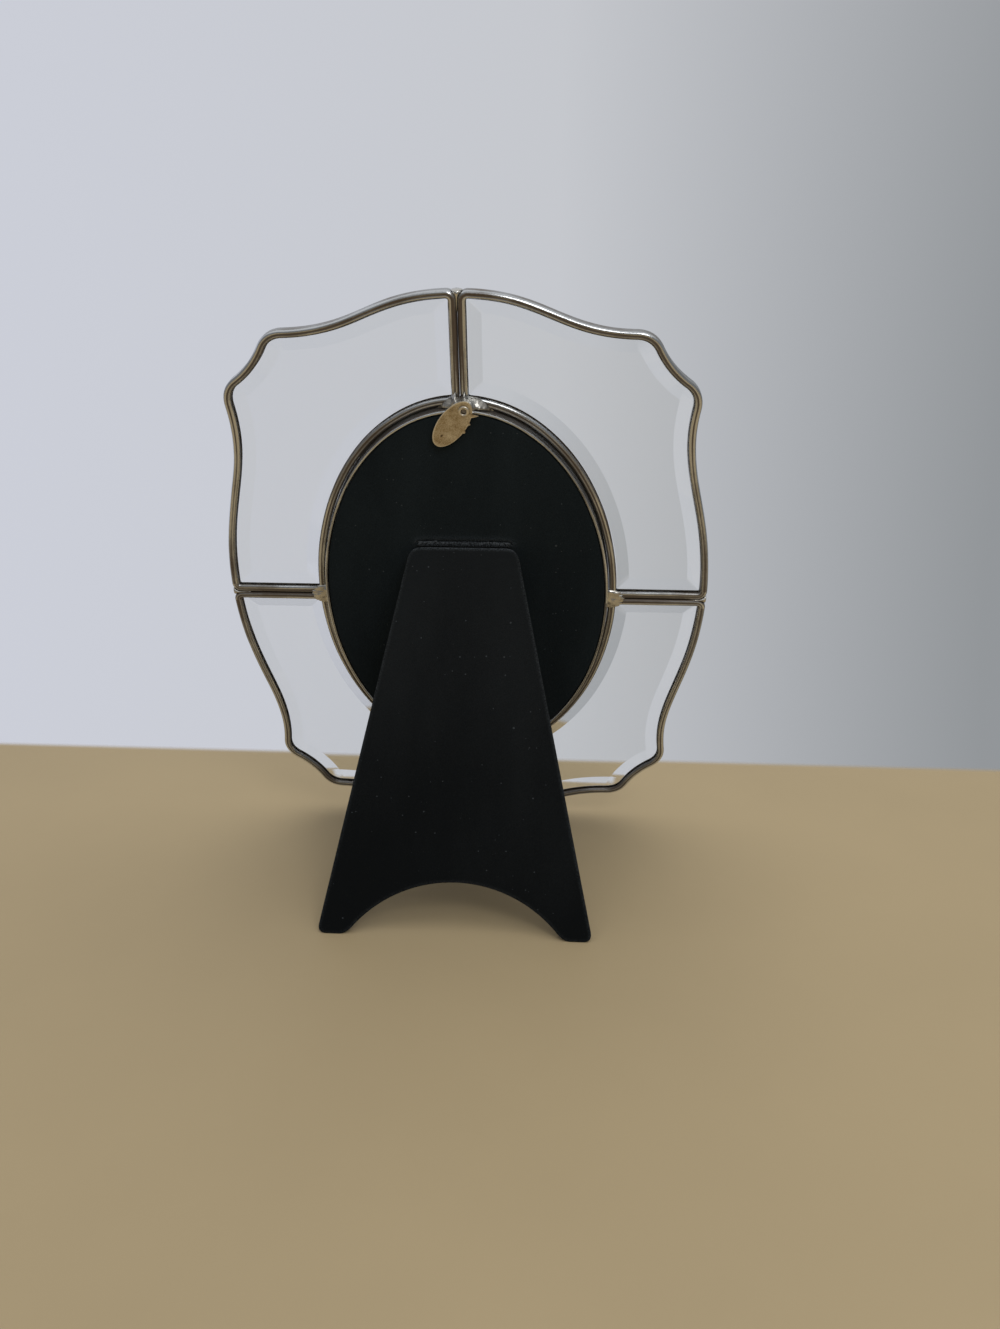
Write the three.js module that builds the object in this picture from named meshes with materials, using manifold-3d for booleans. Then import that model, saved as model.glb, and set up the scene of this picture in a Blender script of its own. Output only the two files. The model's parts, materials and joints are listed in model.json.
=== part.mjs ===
// A standing picture frame: four bevelled glass panels in metal came round an oval ring, with a velvet
// easel back. Millimetres, Z up. The back faces -Y. Within the leaning frame X runs across, Y points out
// of the picture's front and Z runs up the panels, all from the middle of the oval.
import * as THREE from 'three';
import { mergeVertices } from 'three/addons/utils/BufferGeometryUtils.js';
import Module from 'manifold-3d';

// Overall sizes, over the came
const frameWidth = 202.5;
const frameHeight = 251.8;
const leanAngle = 15.4;
const legOpening = 37.2;
const clearance = 0.3;

// One quarter of the outline: side, scallop and crown, as insets from the widest and highest lines
const sidePull = 44.8;
const waistInset = 17.5;
const waistHeight = 57.4;
const cheekInset = 9.3;
const cheekDrop = 36.1;
const scallopInset = 24.5;
const scallopDrop = 28.4;
const browInset = 29.1;
const browDrop = 14.1;
const crownHollowReach = 36.2;
const crownHollowDrop = 15.7;
const crownPull = 34.9;
const cheekCut = 5.2;
const browCut = 5;

// Came, a U-section bead round each panel
const cameWidth = 3.1;
const cameDepth = 5;
const cameWeb = 0.8;
const cameShoulder = 1.1;
const cameBend = 3.8;
const dividerGap = 0.3;
const ovalGap = 0.7;

// Glass panels, bevelled on the front
const glassThickness = 3.2;
const glassEdge = 1.7;
const bevelWidth = 5;

// Oval ring and what it holds, from front to back
const ringHalfWidth = 59.6;
const ringHalfHeight = 83.4;
const ringWall = 1;
const ringProud = 0.1;
const lipWidth = 3.2;
const lipThickness = 0.8;
const ovalGlassThickness = 2;
const cardThickness = 0.5;
const boardThickness = 3.1;
const velvetThickness = 0.6;
const rimProud = 0.4;
const rimRound = 0.4;

// Hinge slit in the back, and the cloth tongue in it
const slitHeight = 27.5;
const slitWidth = 38.5;
const slitGap = 1.4;
const tongueThickness = 0.8;
const tongueDrop = 1.2;

// Leg, a flared board with an arch between its feet
const legTopWidth = 43.2;
const legFlare = 12.15;
const legTopGap = 0.5;
const legStandOff = 0.6;
const legCore = 1.7;
const liningThickness = 0.5;
const legTopRadius = 5;
const archRise = 20.6;
const archRadius = 54.3;
const footOuterRadius = 4;
const footInnerRadius = 3;

// Turn clip, its rivet and the solder boss that carries them
const clipLength = 21.4;
const clipWidth = 10.5;
const clipThickness = 0.5;
const clipTurn = 38;
const clipPivotInset = 3.8;
const clipPivotAside = 0.35;
const clipTeeth = 3;
const toothReach = 0.7;
const spurReach = 2.6;
const firstTooth = 1;
const toothPitch = 20;
const toothSpan = 8;
const pivotAside = 1.8;
const pivotHeight = 83.8;
const rivetBore = 1;
const rivetShank = 1.4;
const rivetHead = 2.1;
const rivetHeadThickness = 0.5;
const bossWidth = 21;
const bossFoot = 2.2;
const bossNeck = 9;
const bossRise = 7.8;
const bossLip = 0.5;
const bossEdge = 0.4;

// Solder at the other joints, and the tab that keeps the board's lower edge in
const solderFill = 0.9;
const solderSetBack = 0.2;
const padWidth = 9;
const padReach = 7;
const padThickness = 1.6;
const padEdge = 0.5;
const keeperWidth = 9;
const keeperReach = 5;
const keeperThickness = 0.4;

// Steps along the curves
const sideSteps = 10;
const scallopSteps = 6;
const crownSteps = 10;
const ovalSteps = 14;
const bendSteps = 4;
const beadSteps = 4;
const ringSteps = 56;
const curveSegments = 8;

// Finishes
const metalFinish = (color, roughness) => new THREE.MeshStandardMaterial({ color, roughness, metalness: 1 });
const softFinish = (color, roughness) => new THREE.MeshStandardMaterial({ color, roughness, metalness: 0 });
const cameMetal = metalFinish(0x9a9284, 0.28);
const solderMetal = metalFinish(0xb4b0a8, 0.3);
const brass = metalFinish(0x9b8157, 0.45);
const velvet = softFinish(0x0d0e0f, 1);
const fibreboard = softFinish(0x5b4a3a, 0.9);
const card = softFinish(0xefebe2, 0.85);
const clearGlass = new THREE.MeshStandardMaterial({
  color: 0xeef2f2,
  roughness: 0.05,
  metalness: 0,
  transparent: true,
  opacity: 0.3,
});

// Places that follow from the sizes
const halfWidth = frameWidth / 2;
const halfHeight = frameHeight / 2;
const lean = THREE.MathUtils.degToRad(leanAngle);
const opening = THREE.MathUtils.degToRad(legOpening);
const cameHalf = cameDepth / 2;
const grooveHalf = glassEdge / 2 + clearance;
const ringFront = cameHalf + ringProud;
const lipBack = ringFront - lipThickness;
const ovalGlassFront = lipBack - clearance;
const cardFront = ovalGlassFront - ovalGlassThickness - clearance;
const boardFront = cardFront - cardThickness - clearance;
const boardBack = boardFront - boardThickness;
const velvetBack = boardBack - clearance - velvetThickness;
const rimBack = velvetBack - rimProud;
const stackInset = ringWall + clearance;

const wasm = await Module();
wasm.setup();

// Closed mesh to solid, for joining and cutting
function solidOf(geometry) {
  const bare = geometry.clone();
  bare.deleteAttribute('normal');
  bare.deleteAttribute('uv');
  const merged = mergeVertices(bare, 1e-5);
  return new wasm.Manifold(new wasm.Mesh({
    numProp: 3,
    vertProperties: Float32Array.from(merged.attributes.position.array),
    triVerts: Uint32Array.from(merged.index.array),
  }));
}

// Points and triangles to a mesh geometry
function geometryOf(positions, triangles) {
  const geometry = new THREE.BufferGeometry();
  geometry.setAttribute('position', new THREE.BufferAttribute(Float32Array.from(positions), 3));
  geometry.setIndex(new THREE.BufferAttribute(Uint32Array.from(triangles), 1));
  geometry.computeVertexNormals();
  return geometry;
}

function cut(body, ...tools) {
  const solid = tools.reduce((rest, tool) => rest.subtract(solidOf(tool)), solidOf(body));
  const mesh = solid.getMesh();
  return geometryOf(mesh.vertProperties, mesh.triVerts);
}

// A flat piece: an outline in X and Z, from its front face back through its thickness
function slab(shape, front, thickness, edge = 0) {
  const geometry = new THREE.ExtrudeGeometry(shape, {
    depth: thickness - 2 * edge,
    steps: 1,
    curveSegments,
    bevelEnabled: edge > 0,
    bevelSize: edge,
    bevelThickness: edge,
    bevelOffset: -edge,
    bevelSegments: 2,
  });
  geometry.translate(0, 0, edge);
  geometry.rotateX(Math.PI / 2);
  geometry.translate(0, front, 0);
  return geometry;
}

// The side sequence of the upper right panel, run anticlockwise, along the came's outer edge.
// A cut-back is how far its far corner is rounded off.
const cheek = new THREE.Vector2(halfWidth - cheekInset, halfHeight - cheekDrop);
const brow = new THREE.Vector2(halfWidth - browInset, halfHeight - browDrop);
const panelSides = [
  {
    curve: new THREE.CubicBezierCurve(
      new THREE.Vector2(halfWidth, 0),
      new THREE.Vector2(halfWidth, sidePull),
      new THREE.Vector2(halfWidth - waistInset, waistHeight),
      cheek,
    ),
    steps: sideSteps,
    away: 0,
    cutBack: cheekCut,
  },
  {
    curve: new THREE.QuadraticBezierCurve(
      cheek,
      new THREE.Vector2(halfWidth - scallopInset, halfHeight - scallopDrop),
      brow,
    ),
    steps: scallopSteps,
    away: 0,
    cutBack: browCut,
  },
  {
    curve: new THREE.CubicBezierCurve(
      brow,
      new THREE.Vector2(crownHollowReach, halfHeight - crownHollowDrop),
      new THREE.Vector2(crownPull, halfHeight),
      new THREE.Vector2(0, halfHeight),
    ),
    steps: crownSteps,
    away: 0,
    cutBack: 0,
  },
  {
    curve: new THREE.LineCurve(new THREE.Vector2(0, halfHeight), new THREE.Vector2(0, 0)),
    steps: 1,
    away: dividerGap / 2,
    cutBack: 0,
  },
  {
    curve: new THREE.EllipseCurve(0, 0, ringHalfWidth, ringHalfHeight, Math.PI / 2, 0, true),
    steps: ovalSteps,
    away: ovalGap,
    cutBack: 0,
  },
  {
    curve: new THREE.LineCurve(new THREE.Vector2(0, 0), new THREE.Vector2(halfWidth, 0)),
    steps: 1,
    away: dividerGap / 2,
    cutBack: 0,
  },
];

// A side as points with outward normals, pulled in by a depth
function insetSide({ curve, steps, away }, depth) {
  return Array.from({ length: steps + 1 }, (unused, i) => {
    const along = curve.getTangent(i / steps);
    const normal = new THREE.Vector2(along.y, -along.x);
    const point = curve.getPoint(i / steps).addScaledVector(normal, -(depth + away));
    return { point, normal };
  });
}

// Share of the way along a to b where it meets c to d, with the share along c to d
function crossing(a, b, c, d) {
  const first = b.clone().sub(a);
  const second = d.clone().sub(c);
  const turn = first.cross(second);
  const gap = c.clone().sub(a);
  return { near: gap.cross(second) / turn, far: gap.cross(first) / turn };
}

// Where one pulled-in side meets the next, looking from the corner outwards
function meet(before, after) {
  for (let i = before.length - 2; i >= 0; i -= 1) {
    for (let j = 0; j < after.length - 1; j += 1) {
      const [a, b, c, d] = [before[i], before[i + 1], after[j], after[j + 1]];
      const { near, far } = crossing(a.point, b.point, c.point, d.point);
      if (near >= 0 && near <= 1 && far >= 0 && far <= 1) {
        return {
          point: a.point.clone().lerp(b.point, near),
          lastBefore: i,
          firstAfter: j + 1,
          normalBefore: a.normal.clone().lerp(b.normal, near).normalize(),
          normalAfter: c.normal.clone().lerp(d.normal, far).normalize(),
        };
      }
    }
  }
  throw new Error('two sides of a panel do not meet');
}

// A run of points without its first stretch, and without points crowded against its new start
function shortened(run, stretch) {
  let left = stretch;
  let i = 0;
  while (left > run[i].point.distanceTo(run[i + 1].point)) {
    left -= run[i].point.distanceTo(run[i + 1].point);
    i += 1;
  }
  const [a, b] = [run[i], run[i + 1]];
  const share = left / a.point.distanceTo(b.point);
  const point = a.point.clone().lerp(b.point, share);
  const normal = a.normal.clone().lerp(b.normal, share).normalize();
  const rest = run.slice(i + 1).filter((next, j, all) => (
    j === all.length - 1 || next.point.distanceTo(point) > cameWeb
  ));
  return [{ point, normal }, ...rest];
}

// A closed line inside the panel with its outward normals, which turn step by step at each corner
function panelSpine(depth, steps, rounding) {
  const sides = panelSides.map((side) => insetSide(side, depth));
  const count = sides.length;
  const corners = sides.map((side, i) => meet(side, sides[(i + 1) % count]));
  const runs = sides.map((side, i) => {
    const [first, last] = [(i + count - 1) % count, i];
    const [start, end] = [corners[first], corners[last]];
    const run = [
      { point: start.point, normal: start.normalAfter },
      ...side.slice(start.firstAfter, end.lastBefore + 1),
      { point: end.point, normal: end.normalBefore },
    ];
    const cutStart = shortened(run, rounding * panelSides[first].cutBack);
    return shortened(cutStart.reverse(), rounding * panelSides[last].cutBack).reverse();
  });
  const spine = runs.flatMap((run, i) => {
    const [before, after] = [run[run.length - 1], runs[(i + 1) % count][0]];
    const bend = new THREE.QuadraticBezierCurve(before.point, corners[i].point, after.point);
    const sweep = Math.atan2(before.normal.cross(after.normal), before.normal.dot(after.normal));
    const turned = Array.from({ length: steps - 1 }, (unused, k) => {
      const share = (k + 1) / steps;
      const normal = before.normal.clone().rotateAround(new THREE.Vector2(), sweep * share);
      return { point: bend.getPoint(share), normal };
    });
    return [...run, ...turned];
  });
  return { spine, corners };
}

// A spine mirrored into a quarter of the frame, still run anticlockwise
function mirrored(spine, sideways, upward) {
  const scale = new THREE.Vector2(sideways, upward);
  const copy = spine.map(({ point, normal }) => ({
    point: point.clone().multiply(scale),
    normal: normal.clone().multiply(scale),
  }));
  return sideways * upward < 0 ? copy.reverse() : copy;
}

// The outline that lies a distance out from a spine
function outlineOf(spine, distance) {
  return spine.map(({ point, normal }) => point.clone().addScaledVector(normal, distance));
}

// Triangles between closed rows of points that have the same count
function strip(rowCount, pointCount, closed) {
  const triangles = [];
  const last = closed ? rowCount : rowCount - 1;
  for (let row = 0; row < last; row += 1) {
    const next = (row + 1) % rowCount;
    for (let i = 0; i < pointCount; i += 1) {
      const j = (i + 1) % pointCount;
      const [near, far] = [row * pointCount, next * pointCount];
      triangles.push(near + i, near + j, far + j, near + i, far + j, far + i);
    }
  }
  return triangles;
}

// A section of (distance out, y) points carried round a closed spine
function sweepRound(spine, section) {
  const positions = section.flatMap(([distance, y]) => (
    outlineOf(spine, distance).flatMap((point) => [point.x, y, point.y])
  ));
  return geometryOf(positions, strip(section.length, spine.length, true));
}

// The came's section: half-round beads behind and in front of the groove, as distances from its bend
function cameSection() {
  const half = cameWidth / 2;
  const rise = cameHalf - cameShoulder;
  const lipAngle = Math.PI - Math.asin((grooveHalf - cameShoulder) / rise);
  const bead = Array.from({ length: beadSteps + 1 }, (unused, i) => {
    const angle = (lipAngle * i) / beadSteps;
    return [cameBend - half + half * Math.cos(angle), -cameShoulder - rise * Math.sin(angle)];
  });
  const frontBead = bead.map(([distance, y]) => [distance, -y]).reverse();
  const web = cameBend - cameWeb;
  return [...bead, [web, -grooveHalf], [web, grooveHalf], ...frontBead];
}

// A glass panel: thin edge in the groove, a land under the lip, then the bevel up to the flat front
function panelGlass(spine, flat) {
  const half = glassEdge / 2;
  const edge = outlineOf(spine, cameBend - cameWeb - clearance);
  const land = outlineOf(spine, cameBend - cameWidth - clearance);
  const count = spine.length;
  const rows = [[land, half], [edge, half], [edge, -half], [flat, glassThickness - half]];
  const positions = rows.flatMap(([outline, y]) => outline.flatMap((point) => [point.x, y, point.y]));
  const triangles = strip(3, count, false);
  const fill = (contour, hole, numbers, facesBack) => {
    const points = [...contour, ...hole];
    THREE.ShapeUtils.triangulateShape(contour, hole.length ? [hole] : []).forEach(([a, b, c]) => {
      const anticlockwise = points[b].clone().sub(points[a]).cross(points[c].clone().sub(points[a])) > 0;
      const [second, third] = anticlockwise === facesBack ? [b, c] : [c, b];
      triangles.push(numbers[a], numbers[second], numbers[third]);
    });
  };
  const numbersOf = (outline, first) => outline.map((unused, i) => first + i);
  const [landNumbers, backNumbers] = [numbersOf(land, 0), numbersOf(edge, 2 * count)];
  const flatNumbers = numbersOf(flat, 3 * count);
  fill(edge, [], backNumbers, true);
  fill(land, flat, [...landNumbers, ...flatNumbers], false);
  fill(flat, [], flatNumbers, false);
  return geometryOf(positions, triangles);
}

// The ring's ellipse as a spine, and a flat shape at a distance in from its outer face
const ringSpine = Array.from({ length: ringSteps }, (unused, i) => {
  const angle = (2 * Math.PI * i) / ringSteps;
  const point = new THREE.Vector2(ringHalfWidth * Math.cos(angle), ringHalfHeight * Math.sin(angle));
  const normal = new THREE.Vector2(point.x / ringHalfWidth ** 2, point.y / ringHalfHeight ** 2).normalize();
  return { point, normal };
});
const ovalShape = (inset) => new THREE.Shape(outlineOf(ringSpine, -inset));

// An L-section band: wall, rounded back rim and front lip
function ovalRing() {
  return sweepRound(ringSpine, [
    [0, ringFront],
    [0, rimBack + rimRound],
    [-rimRound, rimBack],
    [rimRound - ringWall, rimBack],
    [-ringWall, rimBack + rimRound],
    [-ringWall, lipBack],
    [-lipWidth, lipBack],
    [-lipWidth, ringFront],
  ]);
}

function rectangle(left, right, bottom, top) {
  const shape = new THREE.Shape();
  shape.moveTo(left, bottom);
  shape.lineTo(right, bottom);
  shape.lineTo(right, top);
  shape.lineTo(left, top);
  shape.closePath();
  return shape;
}

// The hinge slit, cut through the board and its velvet
const slitTop = slitHeight + slitGap / 2;
const slitBottom = slitHeight - slitGap / 2;
const slitTool = slab(
  rectangle(-slitWidth / 2, slitWidth / 2, slitBottom, slitTop),
  boardFront + clearance,
  boardFront - velvetBack + 2 * clearance,
);

function backingBoard() {
  return cut(slab(ovalShape(stackInset + velvetThickness + clearance), boardFront, boardThickness), slitTool);
}

// Velvet wrapped over the board's back and edge
function backingVelvet() {
  const pocketDepth = boardThickness + clearance;
  const pocket = slab(ovalShape(stackInset + velvetThickness), boardFront + pocketDepth, 2 * pocketDepth);
  return cut(slab(ovalShape(stackInset), boardFront, boardFront - velvetBack), pocket, slitTool);
}

// The tongue's section runs through the slit and folds down outside the velvet
const tongueTop = slitHeight + tongueThickness / 2;
const tongueInner = velvetBack - clearance;
const tongueOuter = tongueInner - tongueThickness;
const tongueFoot = slitHeight - tongueThickness / 2 - tongueDrop;

function hingeTongue() {
  const width = slitWidth - 2 * clearance;
  const through = slab(
    rectangle(-width / 2, width / 2, tongueTop - tongueThickness, tongueTop),
    boardFront,
    boardFront - tongueOuter,
  );
  const fold = slab(rectangle(-width / 2, width / 2, tongueFoot, tongueTop), tongueInner, tongueThickness);
  const mesh = solidOf(through).add(solidOf(fold)).getMesh();
  return geometryOf(mesh.vertProperties, mesh.triVerts);
}

// A tab just inside the ring's lowest point, over the velvet's edge
function bottomKeeper() {
  const foot = clearance + ringWall - ringHalfHeight;
  const shape = new THREE.Shape();
  const half = keeperWidth / 2;
  shape.moveTo(-half, foot + half ** 2 / ringHalfWidth);
  shape.quadraticCurveTo(0, foot, half, foot + half ** 2 / ringHalfWidth);
  shape.lineTo(half, foot + keeperReach - keeperThickness);
  shape.quadraticCurveTo(0, foot + keeperReach + half / 2, -half, foot + keeperReach - keeperThickness);
  shape.closePath();
  return slab(shape, velvetBack - clearance, keeperThickness);
}

// Solder in the notch where two came corners meet at the outline, drawn for the notch that opens upwards
function outerSolder(corner) {
  const reach = cameBend + clearance;
  const [across, up] = corner;
  const low = Math.acos(Math.min(across / reach, 1));
  const high = Math.asin(solderFill * cameBend / reach);
  const shape = new THREE.Shape();
  shape.moveTo(-across + reach * Math.cos(high), up + reach * Math.sin(high));
  shape.absarc(-across, up, reach, high, low, true);
  shape.absarc(across, up, reach, Math.PI - low, Math.PI - high, true);
  shape.closePath();
  return slab(shape, cameHalf - solderSetBack, cameDepth - 2 * solderSetBack);
}

// The ring's outside with its clearance, from the front to just behind the rim
const ringEnvelope = slab(ovalShape(-clearance), ringFront, ringFront - rimBack + clearance);

// A pad of solder behind the came, against the ring's wall, drawn for the joint above the oval
function innerSolder(ringReach) {
  const shape = new THREE.Shape();
  shape.absellipse(0, ringReach + padReach / 3, padWidth / 2, (padReach * 2) / 3, 0, 2 * Math.PI, false, 0);
  return slab(shape, -cameHalf - clearance, padThickness, padEdge);
}

// The boss at the top: a wide foot along the ring that narrows up the divider, with a lip over the rim
const bossBack = rimBack - clearance - bossLip;
function solderBoss() {
  const foot = pivotHeight - bossFoot;
  const half = bossWidth / 2;
  const neck = bossNeck / 2;
  const shape = new THREE.Shape();
  shape.moveTo(-half, foot + half ** 2 / ringHalfWidth);
  shape.quadraticCurveTo(0, foot, half, foot + half ** 2 / ringHalfWidth);
  shape.quadraticCurveTo(half, foot + bossRise / 2, neck, foot + bossRise / 2 + bossFoot);
  shape.quadraticCurveTo(neck, foot + bossRise, 0, foot + bossRise);
  shape.quadraticCurveTo(-neck, foot + bossRise, -neck, foot + bossRise / 2 + bossFoot);
  shape.quadraticCurveTo(-half, foot + bossRise / 2, -half, foot + half ** 2 / ringHalfWidth);
  const front = -cameHalf - clearance;
  return cut(slab(shape, front, front - bossBack, bossEdge), ringEnvelope);
}

// The clip: an oval tab about its pivot, with small teeth on its right edge and a longer spur above them
const clipFront = bossBack - clearance;
function turnClip() {
  const middle = clipPivotInset - clipLength / 2;
  const [long, wide] = [clipLength / 2, clipWidth / 2];
  const onEdge = (angle, out) => [
    -clipPivotAside + (wide + out) * Math.cos(angle),
    middle + (long + out) * Math.sin(angle),
  ];
  const side = THREE.MathUtils.degToRad(toothSpan) / 2;
  const tipAt = (i) => THREE.MathUtils.degToRad(firstTooth + i * toothPitch);
  const shape = new THREE.Shape();
  const follow = (from, to) => shape.absellipse(-clipPivotAside, middle, wide, long, from, to, false, 0);
  shape.moveTo(...onEdge(tipAt(clipTeeth - 1) + side, 0));
  follow(tipAt(clipTeeth - 1) + side, Math.PI);
  follow(Math.PI, 2 * Math.PI + tipAt(0) - side);
  for (let i = 0; i < clipTeeth - 1; i += 1) {
    shape.lineTo(...onEdge(tipAt(i), toothReach));
    follow(tipAt(i) + side, tipAt(i + 1) - side);
  }
  shape.lineTo(...onEdge(tipAt(clipTeeth - 1), spurReach));
  const bore = new THREE.Path();
  bore.absarc(0, 0, rivetShank + clearance, 0, 2 * Math.PI, true);
  shape.holes.push(bore);
  return slab(shape, 0, clipThickness);
}

// A hollow rivet: shank through the clip and a rolled head behind it
function clipRivet() {
  const shankLength = clipThickness + clearance;
  const profile = [
    [rivetBore, 0],
    [rivetShank, 0],
    [rivetShank, shankLength],
    [rivetHead, shankLength],
    [rivetHead, shankLength + rivetHeadThickness / 2],
    [(rivetHead + rivetBore) / 2, shankLength + rivetHeadThickness],
    [rivetBore, shankLength + rivetHeadThickness / 2],
    [rivetBore, 0],
  ];
  const points = profile.map(([radius, height]) => new THREE.Vector2(radius, height));
  return new THREE.LatheGeometry(points, 2 * curveSegments).rotateX(Math.PI);
}

// Two panels' spines, at the came's bend and at the bevel's inner edge
const { spine: bendSpine, corners } = panelSpine(cameBend, bendSteps, 1);
const { spine: flatCorners } = panelSpine(cameWidth + clearance + bevelWidth, 1, 0);
const flatSpine = flatCorners.filter(({ point }, i) => !point.equals(flatCorners.at(i - 1).point));

function piece(name, geometry, material) {
  const mesh = new THREE.Mesh(geometry, material);
  mesh.name = name;
  return mesh;
}

// The leaning frame
const frame = new THREE.Group();
frame.rotation.x = lean;
const quarters = [
  ['upper_left', -1, 1],
  ['upper_right', 1, 1],
  ['lower_left', -1, -1],
  ['lower_right', 1, -1],
];
quarters.forEach(([name, sideways, upward]) => {
  const spine = mirrored(bendSpine, sideways, upward);
  const flat = outlineOf(mirrored(flatSpine, sideways, upward), 0);
  frame.add(piece(`${name}_glass`, panelGlass(spine, flat), clearGlass));
  frame.add(piece(`${name}_came`, sweepRound(spine, cameSection()), cameMetal));
});
frame.add(piece('oval_ring', ovalRing(), cameMetal));
frame.add(piece('oval_glass', slab(ovalShape(stackInset), ovalGlassFront, ovalGlassThickness), clearGlass));
frame.add(piece('photo_card', slab(ovalShape(stackInset), cardFront, cardThickness), card));
frame.add(piece('backing_board', backingBoard(), fibreboard));
frame.add(piece('backing_velvet', backingVelvet(), velvet));
frame.add(piece('bottom_keeper', bottomKeeper(), brass));
frame.add(piece('hinge_tongue', hingeTongue(), velvet));

// Solder at each end of each divider, turned about the oval's middle
const crownCorner = corners[2].point;
const sideCorner = corners[5].point;
const solderJoints = [
  ['top', 0, [crownCorner.x, crownCorner.y], ringHalfHeight],
  ['bottom', Math.PI, [crownCorner.x, crownCorner.y], ringHalfHeight],
  ['left', -Math.PI / 2, [sideCorner.y, sideCorner.x], ringHalfWidth],
  ['right', Math.PI / 2, [sideCorner.y, sideCorner.x], ringHalfWidth],
];
solderJoints.forEach(([name, turn, corner, reach]) => {
  frame.add(piece(`solder_${name}_outer`, outerSolder(corner).rotateY(turn), solderMetal));
  const inner = name === 'top' ? solderBoss() : cut(innerSolder(reach).rotateY(turn), ringEnvelope);
  frame.add(piece(`solder_${name}_inner`, inner, solderMetal));
});

// The clip turns on its rivet, which stands on the boss
const pivot = new THREE.Group();
pivot.position.set(pivotAside, 0, pivotHeight);
const rivet = piece('clip_rivet', clipRivet(), brass);
rivet.position.y = clipFront;
const clip = piece('turn_clip', turnClip(), brass);
clip.position.y = clipFront;
clip.rotation.y = THREE.MathUtils.degToRad(clipTurn);
pivot.add(rivet, clip);
frame.add(pivot);

// The frame stands on its lowest edge
const frameBox = new THREE.Box3().setFromObject(frame, true);
frame.position.z = -frameBox.min.z;

// The leg hangs on the tongue's foot and is cut off where it meets the table
const hingeY = tongueOuter + tongueThickness / 2;
const hingeZ = tongueFoot - clearance;
const tilt = opening - lean;
const hingeHeight = frame.position.z + hingeY * Math.sin(lean) + hingeZ * Math.cos(lean);
const legFront = -legStandOff;
const coreFront = legFront - liningThickness - clearance;
const skinFront = coreFront - legCore - clearance;
const legBack = skinFront - velvetThickness;
const reachAt = (y) => (hingeHeight - y * Math.sin(tilt)) / Math.cos(tilt);
const frontReach = reachAt(legFront);
const flareSlope = Math.tan(THREE.MathUtils.degToRad(legFlare));

// The leg's outline, pulled in by an inset, with its feet at a reach below the hinge
function legShape(inset, reach) {
  const sideInset = inset / Math.cos(Math.atan(flareSlope));
  const halfAt = (down) => legTopWidth / 2 + flareSlope * down - sideInset;
  const top = legTopGap + inset;
  const arch = archRadius + inset;
  const archMiddle = frontReach - archRise + archRadius;
  const footInner = Math.sqrt(arch ** 2 - (archMiddle - reach) ** 2);
  const archStart = Math.asin((archMiddle - reach + footInnerRadius) / arch);
  const archFoot = [arch * Math.cos(archStart), arch * Math.sin(archStart) - archMiddle];
  const topRadius = legTopRadius - inset;
  const outerRadius = footOuterRadius - inset;
  const shape = new THREE.Shape();
  const rightSide = [
    ['lineTo', halfAt(top) - topRadius, -top],
    ['quadraticCurveTo', halfAt(top), -top, halfAt(top + topRadius), -top - topRadius],
    ['lineTo', halfAt(reach - outerRadius), outerRadius - reach],
    ['quadraticCurveTo', halfAt(reach), -reach, halfAt(reach) - outerRadius, -reach],
    ['lineTo', footInner + footInnerRadius, -reach],
    ['quadraticCurveTo', footInner, -reach, ...archFoot],
  ];
  shape.moveTo(0, -top);
  rightSide.forEach(([draw, ...at]) => shape[draw](...at));
  shape.absarc(0, -archMiddle, arch, archStart, Math.PI - archStart, false);
  shape.quadraticCurveTo(-footInner, -reach, -footInner - footInnerRadius, -reach);
  shape.lineTo(outerRadius - halfAt(reach), -reach);
  shape.quadraticCurveTo(-halfAt(reach), -reach, -halfAt(reach - outerRadius), outerRadius - reach);
  shape.lineTo(-halfAt(top + topRadius), -top - topRadius);
  shape.quadraticCurveTo(-halfAt(top), -top, topRadius - halfAt(top), -top);
  shape.closePath();
  return shape;
}

// Velvet wrapped over the leg's back and edges, with its soles level on the table
function legVelvet() {
  const pocket = slab(
    legShape(velvetThickness, frontReach - velvetThickness),
    legFront + clearance,
    legFront - skinFront + clearance,
  );
  const depth = 4 * velvetThickness + legCore;
  const table = new THREE.BoxGeometry(2 * frameWidth, frameHeight, depth);
  table.translate(0, 0, -depth / 2);
  table.rotateX(tilt);
  table.translate(0, legFront, -frontReach);
  return cut(slab(legShape(0, reachAt(legBack)), legFront, legFront - legBack), pocket, table);
}

const innerShape = legShape(velvetThickness + clearance, frontReach - velvetThickness - clearance);
const leg = new THREE.Group();
leg.position.set(0, hingeY, hingeZ);
leg.rotation.x = -opening;
leg.add(piece('leg_lining', slab(innerShape, legFront, liningThickness), velvet));
leg.add(piece('leg_board', slab(innerShape, coreFront, legCore), fibreboard));
leg.add(piece('leg_velvet', legVelvet(), velvet));
frame.add(leg);

// The origin lies under the middle of the whole stand
const stand = new THREE.Group();
stand.add(frame);
const standBox = new THREE.Box3().setFromObject(stand, true);
stand.position.y = -(standBox.min.y + standBox.max.y) / 2;

export default stand;
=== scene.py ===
"""Dresses a standing oval picture frame: bevelled glass in metal came, with a velvet easel back.

Shapes are worked out in millimetres. Within the leaning frame X runs across, Y points out of the
picture's front and Z runs up the panels, all from the middle of the oval.
"""
import json
from math import comb
from types import SimpleNamespace

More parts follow.
